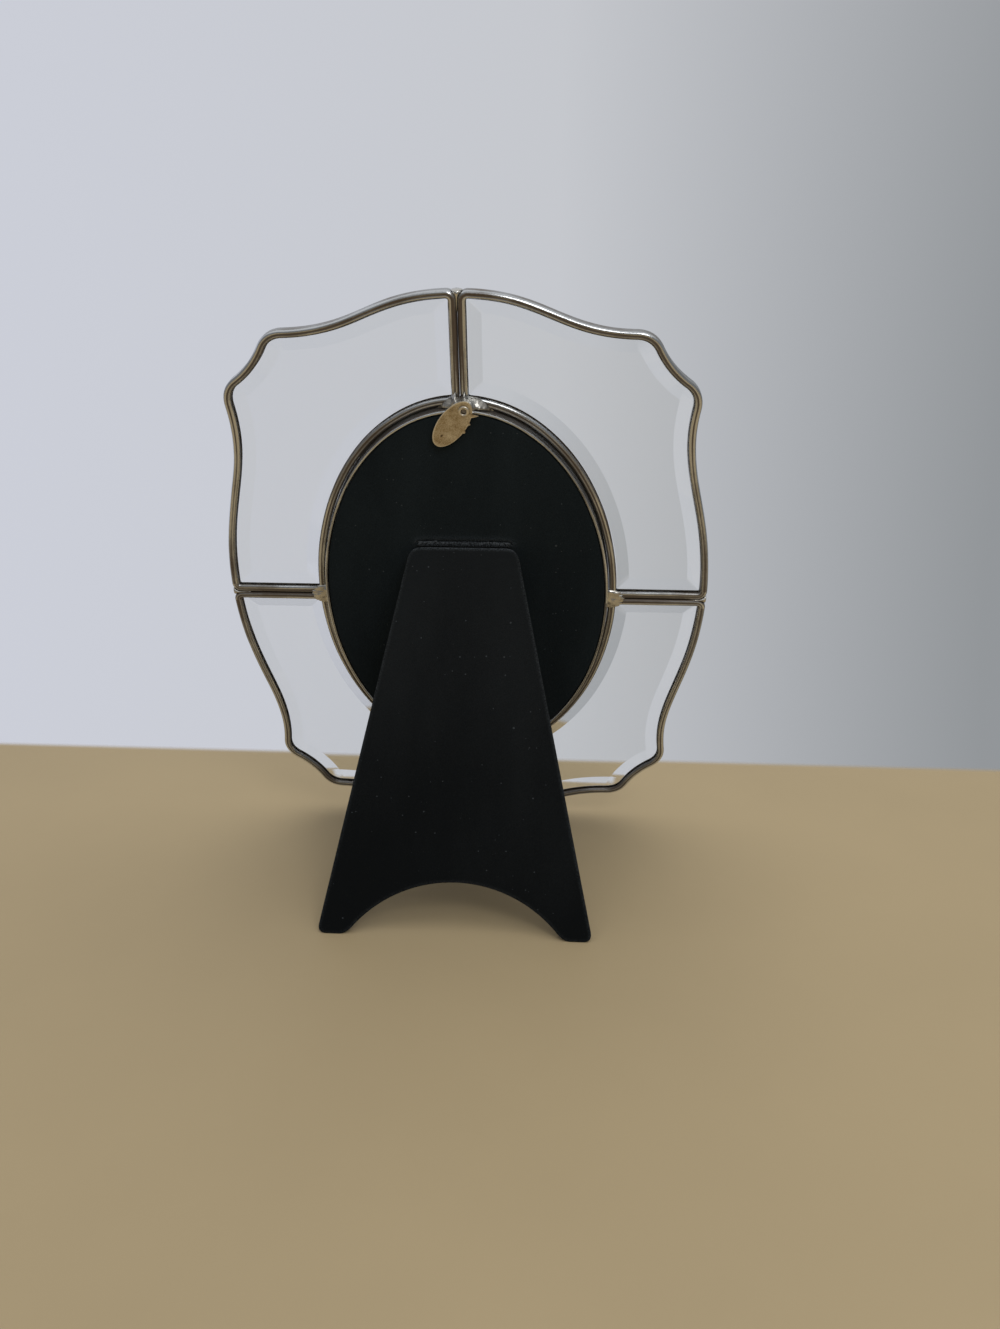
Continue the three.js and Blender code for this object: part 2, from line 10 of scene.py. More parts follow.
import bmesh
import bpy
import numpy as np
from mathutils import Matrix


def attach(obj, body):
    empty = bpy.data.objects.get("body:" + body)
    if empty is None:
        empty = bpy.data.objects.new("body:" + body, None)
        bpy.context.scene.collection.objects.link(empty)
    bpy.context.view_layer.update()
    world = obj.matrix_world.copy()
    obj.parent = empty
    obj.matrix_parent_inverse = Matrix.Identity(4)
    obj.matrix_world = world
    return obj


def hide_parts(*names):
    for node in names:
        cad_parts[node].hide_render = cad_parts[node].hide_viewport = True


bl_info = {
    "name": "Standing Oval Frame",
    "version": (1, 0, 0),
    "blender": (4, 5, 0),
    "location": "3D View > Sidebar > Oval Frame",
    "description": "Makes the glass, came, velvet, clip and leg of a standing oval picture frame",
    "category": "Object",
}

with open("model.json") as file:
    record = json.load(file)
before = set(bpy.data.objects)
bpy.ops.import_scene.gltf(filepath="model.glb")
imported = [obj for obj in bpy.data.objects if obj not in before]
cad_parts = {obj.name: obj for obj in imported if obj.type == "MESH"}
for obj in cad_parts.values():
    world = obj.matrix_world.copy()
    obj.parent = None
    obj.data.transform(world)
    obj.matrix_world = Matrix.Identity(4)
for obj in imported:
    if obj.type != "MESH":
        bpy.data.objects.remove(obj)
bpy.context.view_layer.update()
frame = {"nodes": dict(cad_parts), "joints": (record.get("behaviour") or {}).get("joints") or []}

MM = 0.001
QUARTERS = {
    "upper_left": (-1, 1, 1),
    "upper_right": (1, 1, 1),
    "lower_left": (-1, 1, -1),
    "lower_right": (1, 1, -1),
}
JOINTS = {joint["name"]: joint for joint in frame["joints"]}
HINGE = np.array(JOINTS["leg_fold"]["pos_m"]) / MM
LEAN = np.arctan2(-JOINTS["clip_turn"]["axis"][2], -JOINTS["clip_turn"]["axis"][1])


def turned(points, angle):
    """Points turned about X: y becomes y cos - z sin, and z becomes y sin + z cos."""
    x, y, z = np.moveaxis(np.asarray(points, float), -1, 0)
    cos, sin = np.cos(angle), np.sin(angle)
    return np.stack([x, y * cos - z * sin, y * sin + z * cos], -1)


def upright(node):
    """A CAD node's points in millimetres, turned back so that the panels stand upright."""
    mesh = frame["nodes"][node].data
    points = np.empty(3 * len(mesh.vertices), np.float32)
    mesh.vertices.foreach_get("co", points)
    return turned(points.reshape(-1, 3) / MM, -LEAN)


CAME_POINTS = np.concatenate([upright(f"{quarter}_came") for quarter in QUARTERS])
MIDDLE = (CAME_POINTS.min(0) + CAME_POINTS.max(0)) / 2
CAME_BACK = CAME_POINTS[:, 1].min() - MIDDLE[1]
CAME_FRONT = CAME_POINTS[:, 1].max() - MIDDLE[1]


def span(node):
    """A CAD node's lowest and highest corners along the leaning frame's own axes."""
    points = upright(node) - MIDDLE
    return points.min(0), points.max(0)


def leaning(points):
    """Millimetres in the leaning frame to metres in the row frame."""
    return turned(points + MIDDLE, LEAN) * MM


PIVOT = turned(np.array(JOINTS["clip_turn"]["pos_m"]) / MM, -LEAN) - MIDDLE
RING_LOW, RING_HIGH = span("oval_ring")
RING_HALF = RING_HIGH[[0, 2]]
RIM_BACK, RING_FRONT = RING_LOW[1], RING_HIGH[1]
VELVET_LOW, VELVET_HIGH = span("backing_velvet")
BOSS_BACK = span("solder_top_inner")[0][1]
CLIP_BACK, CLIP_FRONT = (corner[1] for corner in span("turn_clip"))


# Settings

def length(name, description, millimetres):
    """A size, written in millimetres and held in metres."""
    return bpy.props.FloatProperty(
        name=name, description=description, default=millimetres * MM, unit="LENGTH", precision=5,
    )


def angle(name, description, degrees):
    """An angle, written in degrees and held in radians."""
    return bpy.props.FloatProperty(
        name=name, description=description, default=np.radians(degrees), subtype="ANGLE",
    )


def amount(name, description, default):
    """A plain number, such as a lamp's power."""
    return bpy.props.FloatProperty(name=name, description=description, default=default, min=0)


def colour(name, description, shade):
    """A colour in linear light."""
    return bpy.props.FloatVectorProperty(
        name=name, description=description, default=shade, subtype="COLOR", size=3, min=0, max=1,
    )


def place(name, description, metres):
    """A place in the scene."""
    return bpy.props.FloatVectorProperty(
        name=name, description=description, default=metres, subtype="TRANSLATION", size=3,
    )


class FaceSizes(bpy.types.PropertyGroup):
    """The panels' outline, their came and their glass."""
    frame_width: length("Width", "Width of the face over the came", 202.5)
    frame_height: length("Height", "Height of the face over the came", 251.8)
    side_pull: length("Side pull", "How far the side runs straight up", 44.8)
    waist_inset: length("Waist inset", "How far the side draws in at its waist", 17.5)
    waist_height: length("Waist height", "Height of the waist over the middle", 57.4)
    cheek_inset: length("Cheek inset", "Scallop's lower corner, in from the side", 9.3)
    cheek_drop: length("Cheek drop", "Scallop's lower corner, down from the top", 36.1)
    scallop_inset: length("Scallop inset", "Hollow of the scallop, in from the side", 24.5)
    scallop_drop: length("Scallop drop", "Hollow of the scallop, down from the top", 28.4)
    brow_inset: length("Brow inset", "Scallop's upper corner, in from the side", 29.1)
    brow_drop: length("Brow drop", "Scallop's upper corner, down from the top", 14.1)
    crown_hollow_reach: length("Crown hollow reach", "Where the crown's flank is hollow", 36.2)
    crown_hollow_drop: length("Crown hollow drop", "How low the crown's flank lies", 15.7)
    crown_pull: length("Crown pull", "How far the crown runs level", 34.9)
    cheek_cut: length("Cheek cut", "How far the scallop's lower corner is rounded off", 5.2)
    brow_cut: length("Brow cut", "How far the scallop's upper corner is rounded off", 5)
    divider_gap: length("Divider gap", "Half the gap between two came loops", 0.15)
    oval_gap: length("Oval gap", "Gap between the came and the ring", 0.7)
    came_width: length("Came width", "Width of the came's bead", 3.1)
    came_web: length("Came web", "Wall of the came behind the glass edge", 0.8)
    came_shoulder: length("Came shoulder", "Half the height of the came's straight side", 1.1)
    came_bend: length("Came bend", "Radius that the came bends round at corners", 3.8)
    came_crease: length("Came crease", "Depth of the crease along the came's bead", 0.3)
    came_wobble: length("Came wobble", "How far the bent came strays by hand", 0.05)
    came_roll: angle("Came roll", "How far the came twists by hand", 2)
    glass_thickness: length("Glass thickness", "Thickness of a panel within its bevel", 3.2)
    glass_edge: length("Glass edge", "Thickness of a panel's edge", 1.7)
    glass_gap: length("Glass gap", "Gap between glass and came", 0.3)
    bevel_width: length("Bevel width", "Width of the bevel", 5)


class OvalSizes(bpy.types.PropertyGroup):
    """The ring, the velvet back and the hinge slit."""
    ring_wall: length("Ring wall", "Thickness of the ring's wall", 1)
    rim_bead: length("Rim bead", "Radius of the bead along the ring's back rim", 0.56)
    seam_bulge: length("Seam bulge", "How far the solder outside the ring stands out", 0.6)
    lip_width: length("Lip width", "Width of the ring's front lip", 3.2)
    lip_thickness: length("Lip thickness", "Thickness of the ring's front lip", 0.8)
    velvet_thickness: length("Velvet thickness", "Thickness of the velvet", 0.6)
    velvet_crown: length("Velvet crown", "How far the velvet back swells", 0.12)
    welt_rise: length("Welt rise", "How far the velvet rises round the slit", 0.22)
    slit_height: length("Slit height", "Height of the slit over the middle", 27.5)
    slit_width: length("Slit width", "Length of the slit", 38.5)
    slit_gap: length("Slit gap", "Height of the slit's opening", 1.4)
    tongue_thickness: length("Tongue thickness", "Thickness of the cloth tongue", 0.8)
    tongue_fray: length("Tongue fray", "How far the tongue's torn edge wanders", 0.9)


class LegSizes(bpy.types.PropertyGroup):
    """The easel leg."""
    opening: angle("Opening", "Angle between the leg and the back at rest", 37.2)
    flare: angle("Flare", "How far each side of the leg splays", 12.15)
    top_width: length("Top width", "Width of the leg at the hinge", 43.2)
    top_gap: length("Top gap", "From the hinge line down to the leg", 0.5)
    top_radius: length("Top radius", "Rounding of the upper corners", 5)
    arch_rise: length("Arch rise", "Height of the arch between the feet", 20.6)
    arch_radius: length("Arch radius", "Radius of the arch", 54.3)
    foot_outer_radius: length("Outer foot radius", "Rounding of a foot's outer corner", 4)
    foot_inner_radius: length("Inner foot radius", "Rounding of a foot's inner corner", 3)
    stand_off: length("Stand-off", "From the hinge line back to the leg's inner face", 0.6)
    thickness: length("Thickness", "Thickness of the covered leg", 3.4)
    skin: length("Skin", "Thickness of the velvet", 0.6)
    lining: length("Lining", "Thickness of the inner face's velvet", 0.5)


class ClipSizes(bpy.types.PropertyGroup):
    """The turn clip, its eyelet and the solder."""
    clip_length: length("Clip length", "Length of the tab", 21.4)
    clip_width: length("Clip width", "Width of the tab", 10.5)
    clip_turn: angle("Clip turn", "How far the tab is turned at rest", 38)
    pivot_inset: length("Pivot inset", "From the tab's upper end to the eyelet", 3.8)
    pivot_aside: length("Pivot aside", "How far the eyelet sits off the tab's middle", 0.35)
    dimple_aside: length("Dimple aside", "Punch mark, across the tab from the eyelet", -0.8)
    dimple_drop: length("Dimple drop", "Punch mark, along the tab from the eyelet", 12.8)
    tooth_reach: length("Tooth reach", "How far the small teeth stand out", 0.7)
    spur_reach: length("Spur reach", "How far the longest tooth stands out", 2.6)
    eyelet_bore: length("Eyelet bore", "Radius of the eyelet's hole", 1)
    eyelet_shank: length("Eyelet shank", "Radius of the eyelet's shank", 1.4)
    eyelet_head: length("Eyelet head", "Radius of the eyelet's rolled head", 2.1)
    eyelet_roll: length("Eyelet roll", "Height of the rolled head", 0.5)
    boss_width: length("Boss width", "Width of the solder under the eyelet", 21)
    boss_aside: length("Boss aside", "How far the boss sits to the right of the divider", 2)
    boss_foot: length("Boss foot", "How far the boss reaches below the eyelet", 2.2)
    boss_rise: length("Boss rise", "Height of the boss up the divider", 7.8)
    pad_width: length("Pad width", "Width of the solder beside the ring", 9)
    pad_reach: length("Pad reach", "How far that solder runs along the divider", 7)
    pad_rise: length("Pad rise", "How far that solder stands behind the came", 1.6)
    seam_reach: length("Seam reach", "How far the outer solder runs along the divider", 8)
    seam_width: length("Seam width", "Width of the outer solder at its mouth", 4.6)
    seam_set_back: length("Seam set-back", "From the outline in to the outer solder", 0.05)


class FinishShades(bpy.types.PropertyGroup):
    """Colours of the finishes."""
    came_bright: colour("Came, bright", "Bare came", (0.67, 0.685, 0.70))
    came_dull: colour("Came, dull", "Came with a thin tarnish", (0.375, 0.378, 0.375))
    came_dark: colour("Came, dark", "Came in its tarnished corners", (0.14, 0.112, 0.09))
    solder_bright: colour("Solder, bright", "Clean solder", (0.66, 0.64, 0.59))
    solder_dull: colour("Solder, dull", "Solder with flux stains", (0.37, 0.35, 0.315))
    # Also the colour of the highlight painted along the clip's lower left edge.
    brass_bright: colour("Brass, worn", "Brass where it is rubbed", (0.80, 0.74, 0.62))
    brass_dull: colour("Brass, dull", "Brass with a brown skin", (0.40, 0.31, 0.19))
    velvet_pile: colour("Velvet pile", "Velvet looked at along its pile", (0.0195, 0.022, 0.0235))
    velvet_deep: colour("Velvet depth", "Velvet looked at into its pile", (0.0078, 0.009, 0.0098))
    # Lighter, cooler copies of the velvet: painted light for the velvet back and the top of the
    # leg.
    painted_light_pile: colour(
        "Brushed pile", "Velvet brushed upwards, looked at along its pile", (0.0255, 0.035, 0.042))
    painted_light_deep: colour(
        "Brushed depth", "Velvet brushed upwards, looked at into its pile", (0.0115, 0.0158, 0.019))
    # Also the colour of the pale threads painted to lift shaded places on the velvet.
    velvet_lint_and_painted_light: colour("Velvet lint", "Dust and frayed threads", (0.12, 0.135, 0.15))
    board: colour("Board", "Raw fibreboard", (0.32, 0.25, 0.18))
    board_fibre: colour("Board fibre", "Darker fibres of the board", (0.21, 0.155, 0.105))
    card: colour("Card", "Plain card", (0.86, 0.84, 0.78))
    card_fibre: colour("Card fibre", "Darker fibres of the card", (0.78, 0.75, 0.68))


class StageSettings(bpy.types.PropertyGroup):
    """Floor, surroundings, lamps and camera."""
    floor: colour("Floor", "Pale floor under the object", (0.445, 0.345, 0.2))
    far_floor: colour(
        "Far floor", "Surroundings below, on the camera's side", (0.305, 0.243, 0.146))
    wall: colour("Wall", "Pale surroundings beyond the floor", (0.56, 0.575, 0.61))
    wall_left: colour("Wall, left", "Surroundings to the left of that", (0.61, 0.63, 0.705))
    wall_right: colour("Wall, right", "Surroundings to the right of that", (0.29, 0.305, 0.32))
    room: colour("Room", "Dim surroundings on the camera's side", (0.19, 0.195, 0.20))
    ceiling: colour("Ceiling", "Surroundings overhead", (0.62, 0.63, 0.64))
    floor_end: length("Floor end", "From the middle back to where the floor ends", 110)
    key_power: amount("Key power", "Power of the large lamp overhead, in watts", 6.0)
    key_size: length("Key size", "Width of the large lamp overhead", 1400)
    key_place: place("Key place", "Where the large lamp hangs", (0.15, 0.2, 1.2))
    fill_power: amount("Fill power", "Power of the lamp at the upper right, in watts", 2.2)
    fill_size: length("Fill size", "Width of the lamp at the upper right", 400)
    fill_place: place("Fill place", "Where the lamp at the upper right hangs", (0.4, -0.75, 0.9))
    camera_place: place("Camera place", "Where the camera stands", (0.0357, -0.3838, 0.2368))
    camera_turn: bpy.props.FloatVectorProperty(
        name="Camera turn", description="How the camera is turned", size=3,
        default=tuple(np.radians((69.961, -0.202, 3.132))), subtype="EULER",
    )
    camera_lens: bpy.props.FloatProperty(
        name="Camera lens", description="Focal length", default=26.55, unit="CAMERA",
    )


GROUPS = {
    "oval_frame_face": FaceSizes,
    "oval_frame_oval": OvalSizes,
    "oval_frame_leg": LegSizes,
    "oval_frame_clip": ClipSizes,
    "oval_frame_shades": FinishShades,
    "oval_frame_stage": StageSettings,
}


def sizes(name):
    """A group's lengths in millimetres and its other settings as they are."""
    group = getattr(bpy.context.scene, name)
    found = {}
    for key in type(group).__annotations__:
        value = getattr(group, key)
        found[key] = value / MM if group.bl_rna.properties[key].unit == "LENGTH" else value
    return SimpleNamespace(**found)


# Curves and grids

def bezier(corners, count):
    """Points and directions on a Bezier curve: the corners weighed by Bernstein polynomials."""
    corners = np.asarray(corners, float)
    t = np.linspace(0, 1, count)[:, None]

    def weighed(points):
        degree = len(points) - 1
        power = np.arange(degree + 1)
        shares = np.array([comb(degree, k) for k in power])
        return (shares * t ** power * (1 - t) ** (degree - power)) @ points

    return weighed(corners), weighed(np.diff(corners, axis=0))


def ripple(share, seed, waves=(3, 7, 13)):
    """A smooth closed wave of about unit height: whole sine waves, each with its own phase."""
    count = np.array(waves)[:, None]
    return np.sin(2 * np.pi * (count * share + seed * np.sqrt(count))).mean(0)


def smooth_step(value, low, high):
    """Rises from 0 at low to 1 at high as 3 t squared less 2 t cubed."""
    t = np.clip((value - low) / (high - low), 0, 1)
    return t * t * (3 - 2 * t)


def bell(value, middle, width):
    """A bell curve: e to the power -d squared, with d the distance from its middle in widths."""
    return np.exp(-((value - middle) / width) ** 2)


def half_round(value):
    """Height of a unit half circle over a value from -1 to 1."""
    return np.sqrt(np.clip(1 - value ** 2, 0, 1))


def full_turn(count):
    """Angles that divide a full turn evenly."""
    return 2 * np.pi * np.arange(count) / count


def compass(angles):
    """Points at some angles on a unit circle."""
    return np.stack([np.cos(angles), np.sin(angles)], 1)


def normalised(vectors):
    """Vectors brought to unit length."""
    return vectors / np.linalg.norm(vectors, axis=1, keepdims=True)


def running_length(points):
    """Length run from the first point of a line to each of its points."""
    return np.concatenate([[0], np.cumsum(np.linalg.norm(np.diff(points, axis=0), axis=1))])


def girth_of(loop):
    """Length of a closed line."""
    return running_length(np.concatenate([loop, loop[:1]]))[-1]


def panel_sides(face):
    """The upper right panel's six sides: points, outward normals, a gap and a cut-back for each.

    They run anticlockwise. The side is a cubic curve, the scallop a quadratic and the crown a
    cubic. Then come the upright divider, a quarter of the ring's ellipse run clockwise and the
    level divider. The cut-back is how far the corner at the side's end is rounded off.
    """
    count = 240
    wide, high = face.frame_width / 2, face.frame_height / 2
    waist = (wide - face.waist_inset, face.waist_height)
    cheek = (wide - face.cheek_inset, high - face.cheek_drop)
    hollow = (wide - face.scallop_inset, high - face.scallop_drop)
    brow = (wide - face.brow_inset, high - face.brow_drop)
    flank = (face.crown_hollow_reach, high - face.crown_hollow_drop)
    around = np.linspace(np.pi / 2, 0, count)
    oval = (RING_HALF * compass(around), RING_HALF * compass(around)[:, ::-1] * (1, -1))
    lines = (
        (bezier([(wide, 0), (wide, face.side_pull), waist, cheek], count), 0, face.cheek_cut),
        (bezier([cheek, hollow, brow], count), 0, face.brow_cut),
        (bezier([brow, flank, (face.crown_pull, high), (0, high)], count), 0, 0),
        (bezier([(0, high), (0, 0)], count), face.divider_gap, 0),
        (oval, face.oval_gap, 0),
        (bezier([(0, 0), (wide, 0)], count), face.divider_gap, 0),
    )
    return [
        (points, normalised(np.stack([along[:, 1], -along[:, 0]], 1)), gap, cut_back)
        for (points, along), gap, cut_back in lines
    ]


def crossing(before, after):
    """Where two lines of points meet, as a place along each, taken as near the corner as can be.

    Two segments meet where the cross product of the gap between them with either, over the cross
    product of the two, lies between 0 and 1.
    """
    def cross(a, b):
        return a[..., 0] * b[..., 1] - a[..., 1] * b[..., 0]

    first, second = np.diff(before, axis=0)[:, None], np.diff(after, axis=0)[None]
    gap = after[None, :-1] - before[:-1, None]
    with np.errstate(divide="ignore", invalid="ignore"):
        near = cross(gap, second) / cross(first, second)
        far = cross(gap, first) / cross(first, second)
    found = np.argwhere((near >= 0) & (near <= 1) & (far >= 0) & (far <= 1))
    if not len(found):
        raise RuntimeError("two sides of a panel do not meet")
    i, j = found[np.argmax(found[:, 0] * len(after) - found[:, 1])]
    return i + near[i, j], j + far[i, j]


def panel_loop(face, depth, rounding=1):
    """A closed line a depth inside the upper right panel, with normals that fan out at its corners.

    Each side is pulled in along its normals, trimmed where it meets its neighbours, cut back where
    a corner is rounded and divided into equal lengths. A corner is a quadratic curve between the
    ends of its two sides, or the same point repeated, while its normal turns from one side's to the
    next's.
    """
    per_side, fan, fine_steps = 44, 10, 600
    made = panel_sides(face)
    sides = [(points - normals * (depth + gap), normals) for points, normals, gap, unused in made]
    cuts = [rounding * cut_back for *unused, cut_back in made]
    ends = [crossing(side[0], sides[(i + 1) % len(sides)][0]) for i, side in enumerate(sides)]
    trimmed, corners = [], []
    for i, (points, normals) in enumerate(sides):
        fine = np.linspace(ends[i - 1][1], ends[i][0], fine_steps)
        place = np.arange(len(points))
        line = np.stack([np.interp(fine, place, points[:, k]) for k in (0, 1)], 1)
        run = running_length(line)
        even = np.interp(np.linspace(cuts[i - 1], run[-1] - cuts[i], per_side), run, fine)
        trimmed.append([np.stack([np.interp(even, place, part[:, k]) for k in (0, 1)], 1)
                        for part in (points, normals)])
        corners.append(line[-1])
    loop, facing = [], []
    for i, (points, normals) in enumerate(trimmed):
        next_points, next_normals = trimmed[(i + 1) % len(trimmed)]
        start = np.arctan2(*normals[-1][::-1])
        turn = np.arctan2(*next_normals[0][::-1]) - start
        turn = (turn + np.pi) % (2 * np.pi) - np.pi
        steps = start + turn * np.arange(1, fan) / fan
        loop += [points, bezier([points[-1], corners[i], next_points[0]], fan + 1)[0][1:-1]]
        facing += [normals, compass(steps)]
    return np.concatenate(loop), normalised(np.concatenate(facing))


def ellipse_at(angles, inset=0.0):
    """Points of the ring's outer ellipse, pulled in along their normals, with those normals."""
    circle = compass(angles)
    normals = normalised(circle / RING_HALF)
    return RING_HALF * circle - inset * normals, normals


def raised(outline, depth):
    """Points in X and Z with a depth in Y."""
    depth = np.broadcast_to(depth, outline.shape[:-1])
    return np.stack([outline[..., 0], depth, outline[..., 1]], -1)


def carried(points, normals, out, depth):
    """A section carried along a line: each point is the line's, moved out along its normal."""
    return raised(points + normals * np.asarray(out)[..., None], depth)


def add_object(name, data):
    """A new object at the origin, linked to the scene."""
    thing = bpy.data.objects.new(name, data)
    bpy.context.scene.collection.objects.link(thing)
    return thing


def make_piece(name, grid, finish, body, stands_for, *, rows_closed=True,
               columns_closed=True, capped=False, marks=None, lined=False, sharp=35):
    """A closed piece from rows and columns of points, which rides on a body and stands for nodes.

    Neighbouring points make quads. The grid closes on itself, or has flat ends where it is capped.
    Points that fall together are joined, and all faces are turned outwards. Edges that turn by more
    than a number of degrees stay sharp. Marks are values at the points for the finish to read. A
    lined piece has flat coordinates too: millimetres along its rows and the row's number across.
    """
    rows, columns = grid.shape[:2]
    number = np.arange(rows * columns).reshape(rows, columns)
    low, high = (number, np.roll(number, -1, 0)) if rows_closed else (number[:-1], number[1:])
    if columns_closed:
        quads = np.stack([low, np.roll(low, -1, 1), np.roll(high, -1, 1), high], -1)
    else:
        quads = np.stack([low[:, :-1], low[:, 1:], high[:, 1:], high[:, :-1]], -1)
    faces = quads.reshape(-1, 4).tolist()
    if capped:
        ends = number if columns_closed else number.T
        faces += [ends[0].tolist(), ends[-1].tolist()]
    mesh = bpy.data.meshes.new(name)
    mesh.from_pydata(grid.reshape(-1, 3), [], faces)
    for mark, values in (marks or {}).items():
        values = np.broadcast_to(values, (rows, columns)).astype(np.float32)
        mesh.attributes.new(mark, "FLOAT", "POINT").data.foreach_set("value", values.ravel())
    if lined:
        row, column = np.indices(quads.shape[:2])
        along = running_length(np.concatenate([grid[0], grid[0, :1]])) / MM
        u = np.stack([along[column + step] for step in (0, 1, 1, 0)], -1)
        v = np.stack([row + step for step in (0, 0, 1, 1)], -1)
        flat = np.stack([u, v], -1).astype(np.float32)
        mesh.uv_layers.new(name="UVMap").data.foreach_set("uv", flat.ravel())
    shell = bmesh.new()
    shell.from_mesh(mesh)
    bmesh.ops.remove_doubles(shell, verts=shell.verts, dist=1e-7)
    bmesh.ops.recalc_face_normals(shell, faces=shell.faces)
    if shell.calc_volume(signed=True) < 0:
        bmesh.ops.reverse_faces(shell, faces=shell.faces)
    shell.to_mesh(mesh)
    shell.free()
    edges = np.empty(len(mesh.loops), np.int32)
    mesh.loops.foreach_get("edge_index", edges)
    if (np.bincount(edges) != 2).any():
        raise RuntimeError(f"{name} has an open or a shared edge")
    mesh.shade_smooth()
    mesh.set_sharp_from_angle(angle=np.radians(sharp))
    mesh.materials.append(finish)
    thing = add_object(name, mesh)
    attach(thing, body)
    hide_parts(*stands_for)
    return thing


# Finishes

class Nodes:
    """Short ways to add and join a tree's nodes."""

    def __init__(self, tree):
        self.tree = tree
        self.place = self.add("ShaderNodeTexCoord")

    def feed(self, node, inputs):
        """Links or values on a node's sockets."""
        for socket, value in inputs.items():
            if isinstance(value, bpy.types.NodeSocket):
                self.tree.links.new(value, node.inputs[socket])
            else:
                node.inputs[socket].default_value = value

    def add(self, kind, inputs=None, **settings):
        """A new node with its settings and inputs."""
        node = self.tree.nodes.new(kind)
        for key, value in settings.items():
            setattr(node, key, value)
        self.feed(node, inputs or {})
        return node

    def stretched(self, scale, where="Object"):
        """Coordinates stretched along their axes, for grain and drawn lines."""
        vector = self.place.outputs[where]
        return self.add("ShaderNodeMapping", {"Vector": vector, "Scale": scale}).outputs[0]

    def noise(self, scale, detail=2.0, vector=None):
        """Cloudy noise, with a number of waves to the metre."""
        inputs = {
            "Vector": vector or self.place.outputs["Object"], "Scale": scale, "Detail": detail,
        }
        return self.add("ShaderNodeTexNoise", inputs).outputs[0]

    def specks(self, scale, size):
        """1 in the middle of some Voronoi cells, 0 elsewhere: each cell's number picks its size."""
        inputs = {"Vector": self.place.outputs["Object"], "Scale": scale}
        cells = self.add("ShaderNodeTexVoronoi", inputs)
        limit = self.span(cells.outputs["Color"], 0.45, 1.0, 0.0, size)
        return self.math("LESS_THAN", cells.outputs["Distance"], limit)

    def mark(self, name):
        """Values that a piece carries at its points."""
        return self.add("ShaderNodeAttribute", attribute_name=name).outputs["Fac"]

    def span(self, value, low, high, to_low, to_high):
        """A value spread from one range to another."""
        return self.add("ShaderNodeMapRange", {
            "Value": value, "From Min": low, "From Max": high, "To Min": to_low, "To Max": to_high,
        }).outputs[0]

    def step(self, value, low, high):
        """A value's smooth rise from 0 at low to 1 at high."""
        return self.add("ShaderNodeMapRange", {"Value": value, "From Min": low, "From Max": high},
                        interpolation_type="SMOOTHSTEP").outputs[0]

    def math(self, operation, *values):
        """One or two values put through an operation."""
        return self.add("ShaderNodeMath", dict(enumerate(values)), operation=operation).outputs[0]

    def total(self, first, *others):
        """Values added up."""
        for value in others:
            first = self.math("ADD", first, value)
        return first

    def ramp(self, value, *stops):
        """Colours along a value, each stop a place and a colour."""
        node = self.add("ShaderNodeValToRGB", {"Fac": value})
        elements = node.color_ramp.elements
        while len(elements) < len(stops):
            elements.new(0.5)
        for element, (place, shade) in zip(elements, stops):
            element.position = place
            element.color = (*shade, 1)
        return node.outputs["Color"]

    def blend(self, share, first, second):
        """One colour over another by a share."""
        first, second = (
            shade if isinstance(shade, bpy.types.NodeSocket) else (*shade, 1)
            for shade in (first, second)
        )
        inputs = {0: share, 6: first, 7: second}
        return self.add("ShaderNodeMix", inputs, data_type="RGBA").outputs[2]

    def bump(self, height, distance, strength, under=None):
        """A normal tilted by a height, over another normal if there is one."""
        inputs = {"Height": height, "Distance": distance, "Strength": strength}
        if under:
            inputs["Normal"] = under
        return self.add("ShaderNodeBump", inputs).outputs["Normal"]


class Finish(Nodes):
    """A material in the making."""

    def __init__(self, name):
        self.material = bpy.data.materials.new(name)
        self.material.use_nodes = True
        super().__init__(self.material.node_tree)
        self.shader = self.tree.nodes["Principled BSDF"]

    def done(self, **inputs):
        """The material, with values or links on its shader's sockets."""
        self.feed(self.shader, {key.replace("_", " "): value for key, value in inputs.items()})
        return self.material


def kept(maker):
    """Makes a finish once, named after its maker, and hands out the same material afterwards."""
    def get(shades):
        name = maker.__name__
        return bpy.data.materials.get(name) or maker(Finish(name), shades)
    return get


@kept
def drawn_came(finish, shades):
    """Drawn metal: fine lines along the came, brown tarnished cloudy patches, and a mark that adds
    patina and painted shade.
    """
    patches = finish.span(finish.noise(70, 4), 0.35, 0.7, -0.18, 0.22)
    specks = finish.span(finish.noise(1500, 3), 0.4, 0.75, -0.05, 0.12)
    lines = finish.noise(1, 2, finish.stretched((0.012, 0.17, 1), "UV"))
    streaks = finish.span(lines, 0.38, 0.62, -0.25, 0.6)
    tarnish_and_shade = finish.total(finish.mark("tarnish_and_shade"), patches, specks, streaks)
    ripples = finish.bump(finish.noise(160), 0.00012, 0.5)
    return finish.done(
        Base_Color=finish.ramp(tarnish_and_shade, (0.08, shades.came_bright), (0.42, shades.came_dull),
                               (0.85, shades.came_dark)),
        Metallic=finish.span(tarnish_and_shade, 0.2, 0.8, 1.0, 0.45),
        Roughness=finish.span(tarnish_and_shade, 0, 0.9, 0.17, 0.42),
        Normal=finish.bump(lines, 0.0002, 0.8, ripples),
    )


@kept
def lumpy_solder(finish, shades):
    """Solder: soft lumps, small pits and dull flux stains."""
    blotches = finish.span(finish.noise(240, 5), 0.35, 0.7, -0.2, 0.45)
    stains = finish.total(finish.mark("tarnish_and_shade"), blotches)
    lumps = finish.bump(finish.noise(420), 0.0003, 0.8)
    return finish.done(
        Metallic=1.0,
        Base_Color=finish.ramp(stains, (0.1, shades.solder_bright), (0.8, shades.solder_dull)),
        Roughness=finish.span(stains, 0, 0.8, 0.16, 0.38),
        Normal=finish.bump(finish.noise(2200, 3), 0.00004, 0.5, lumps),
    )


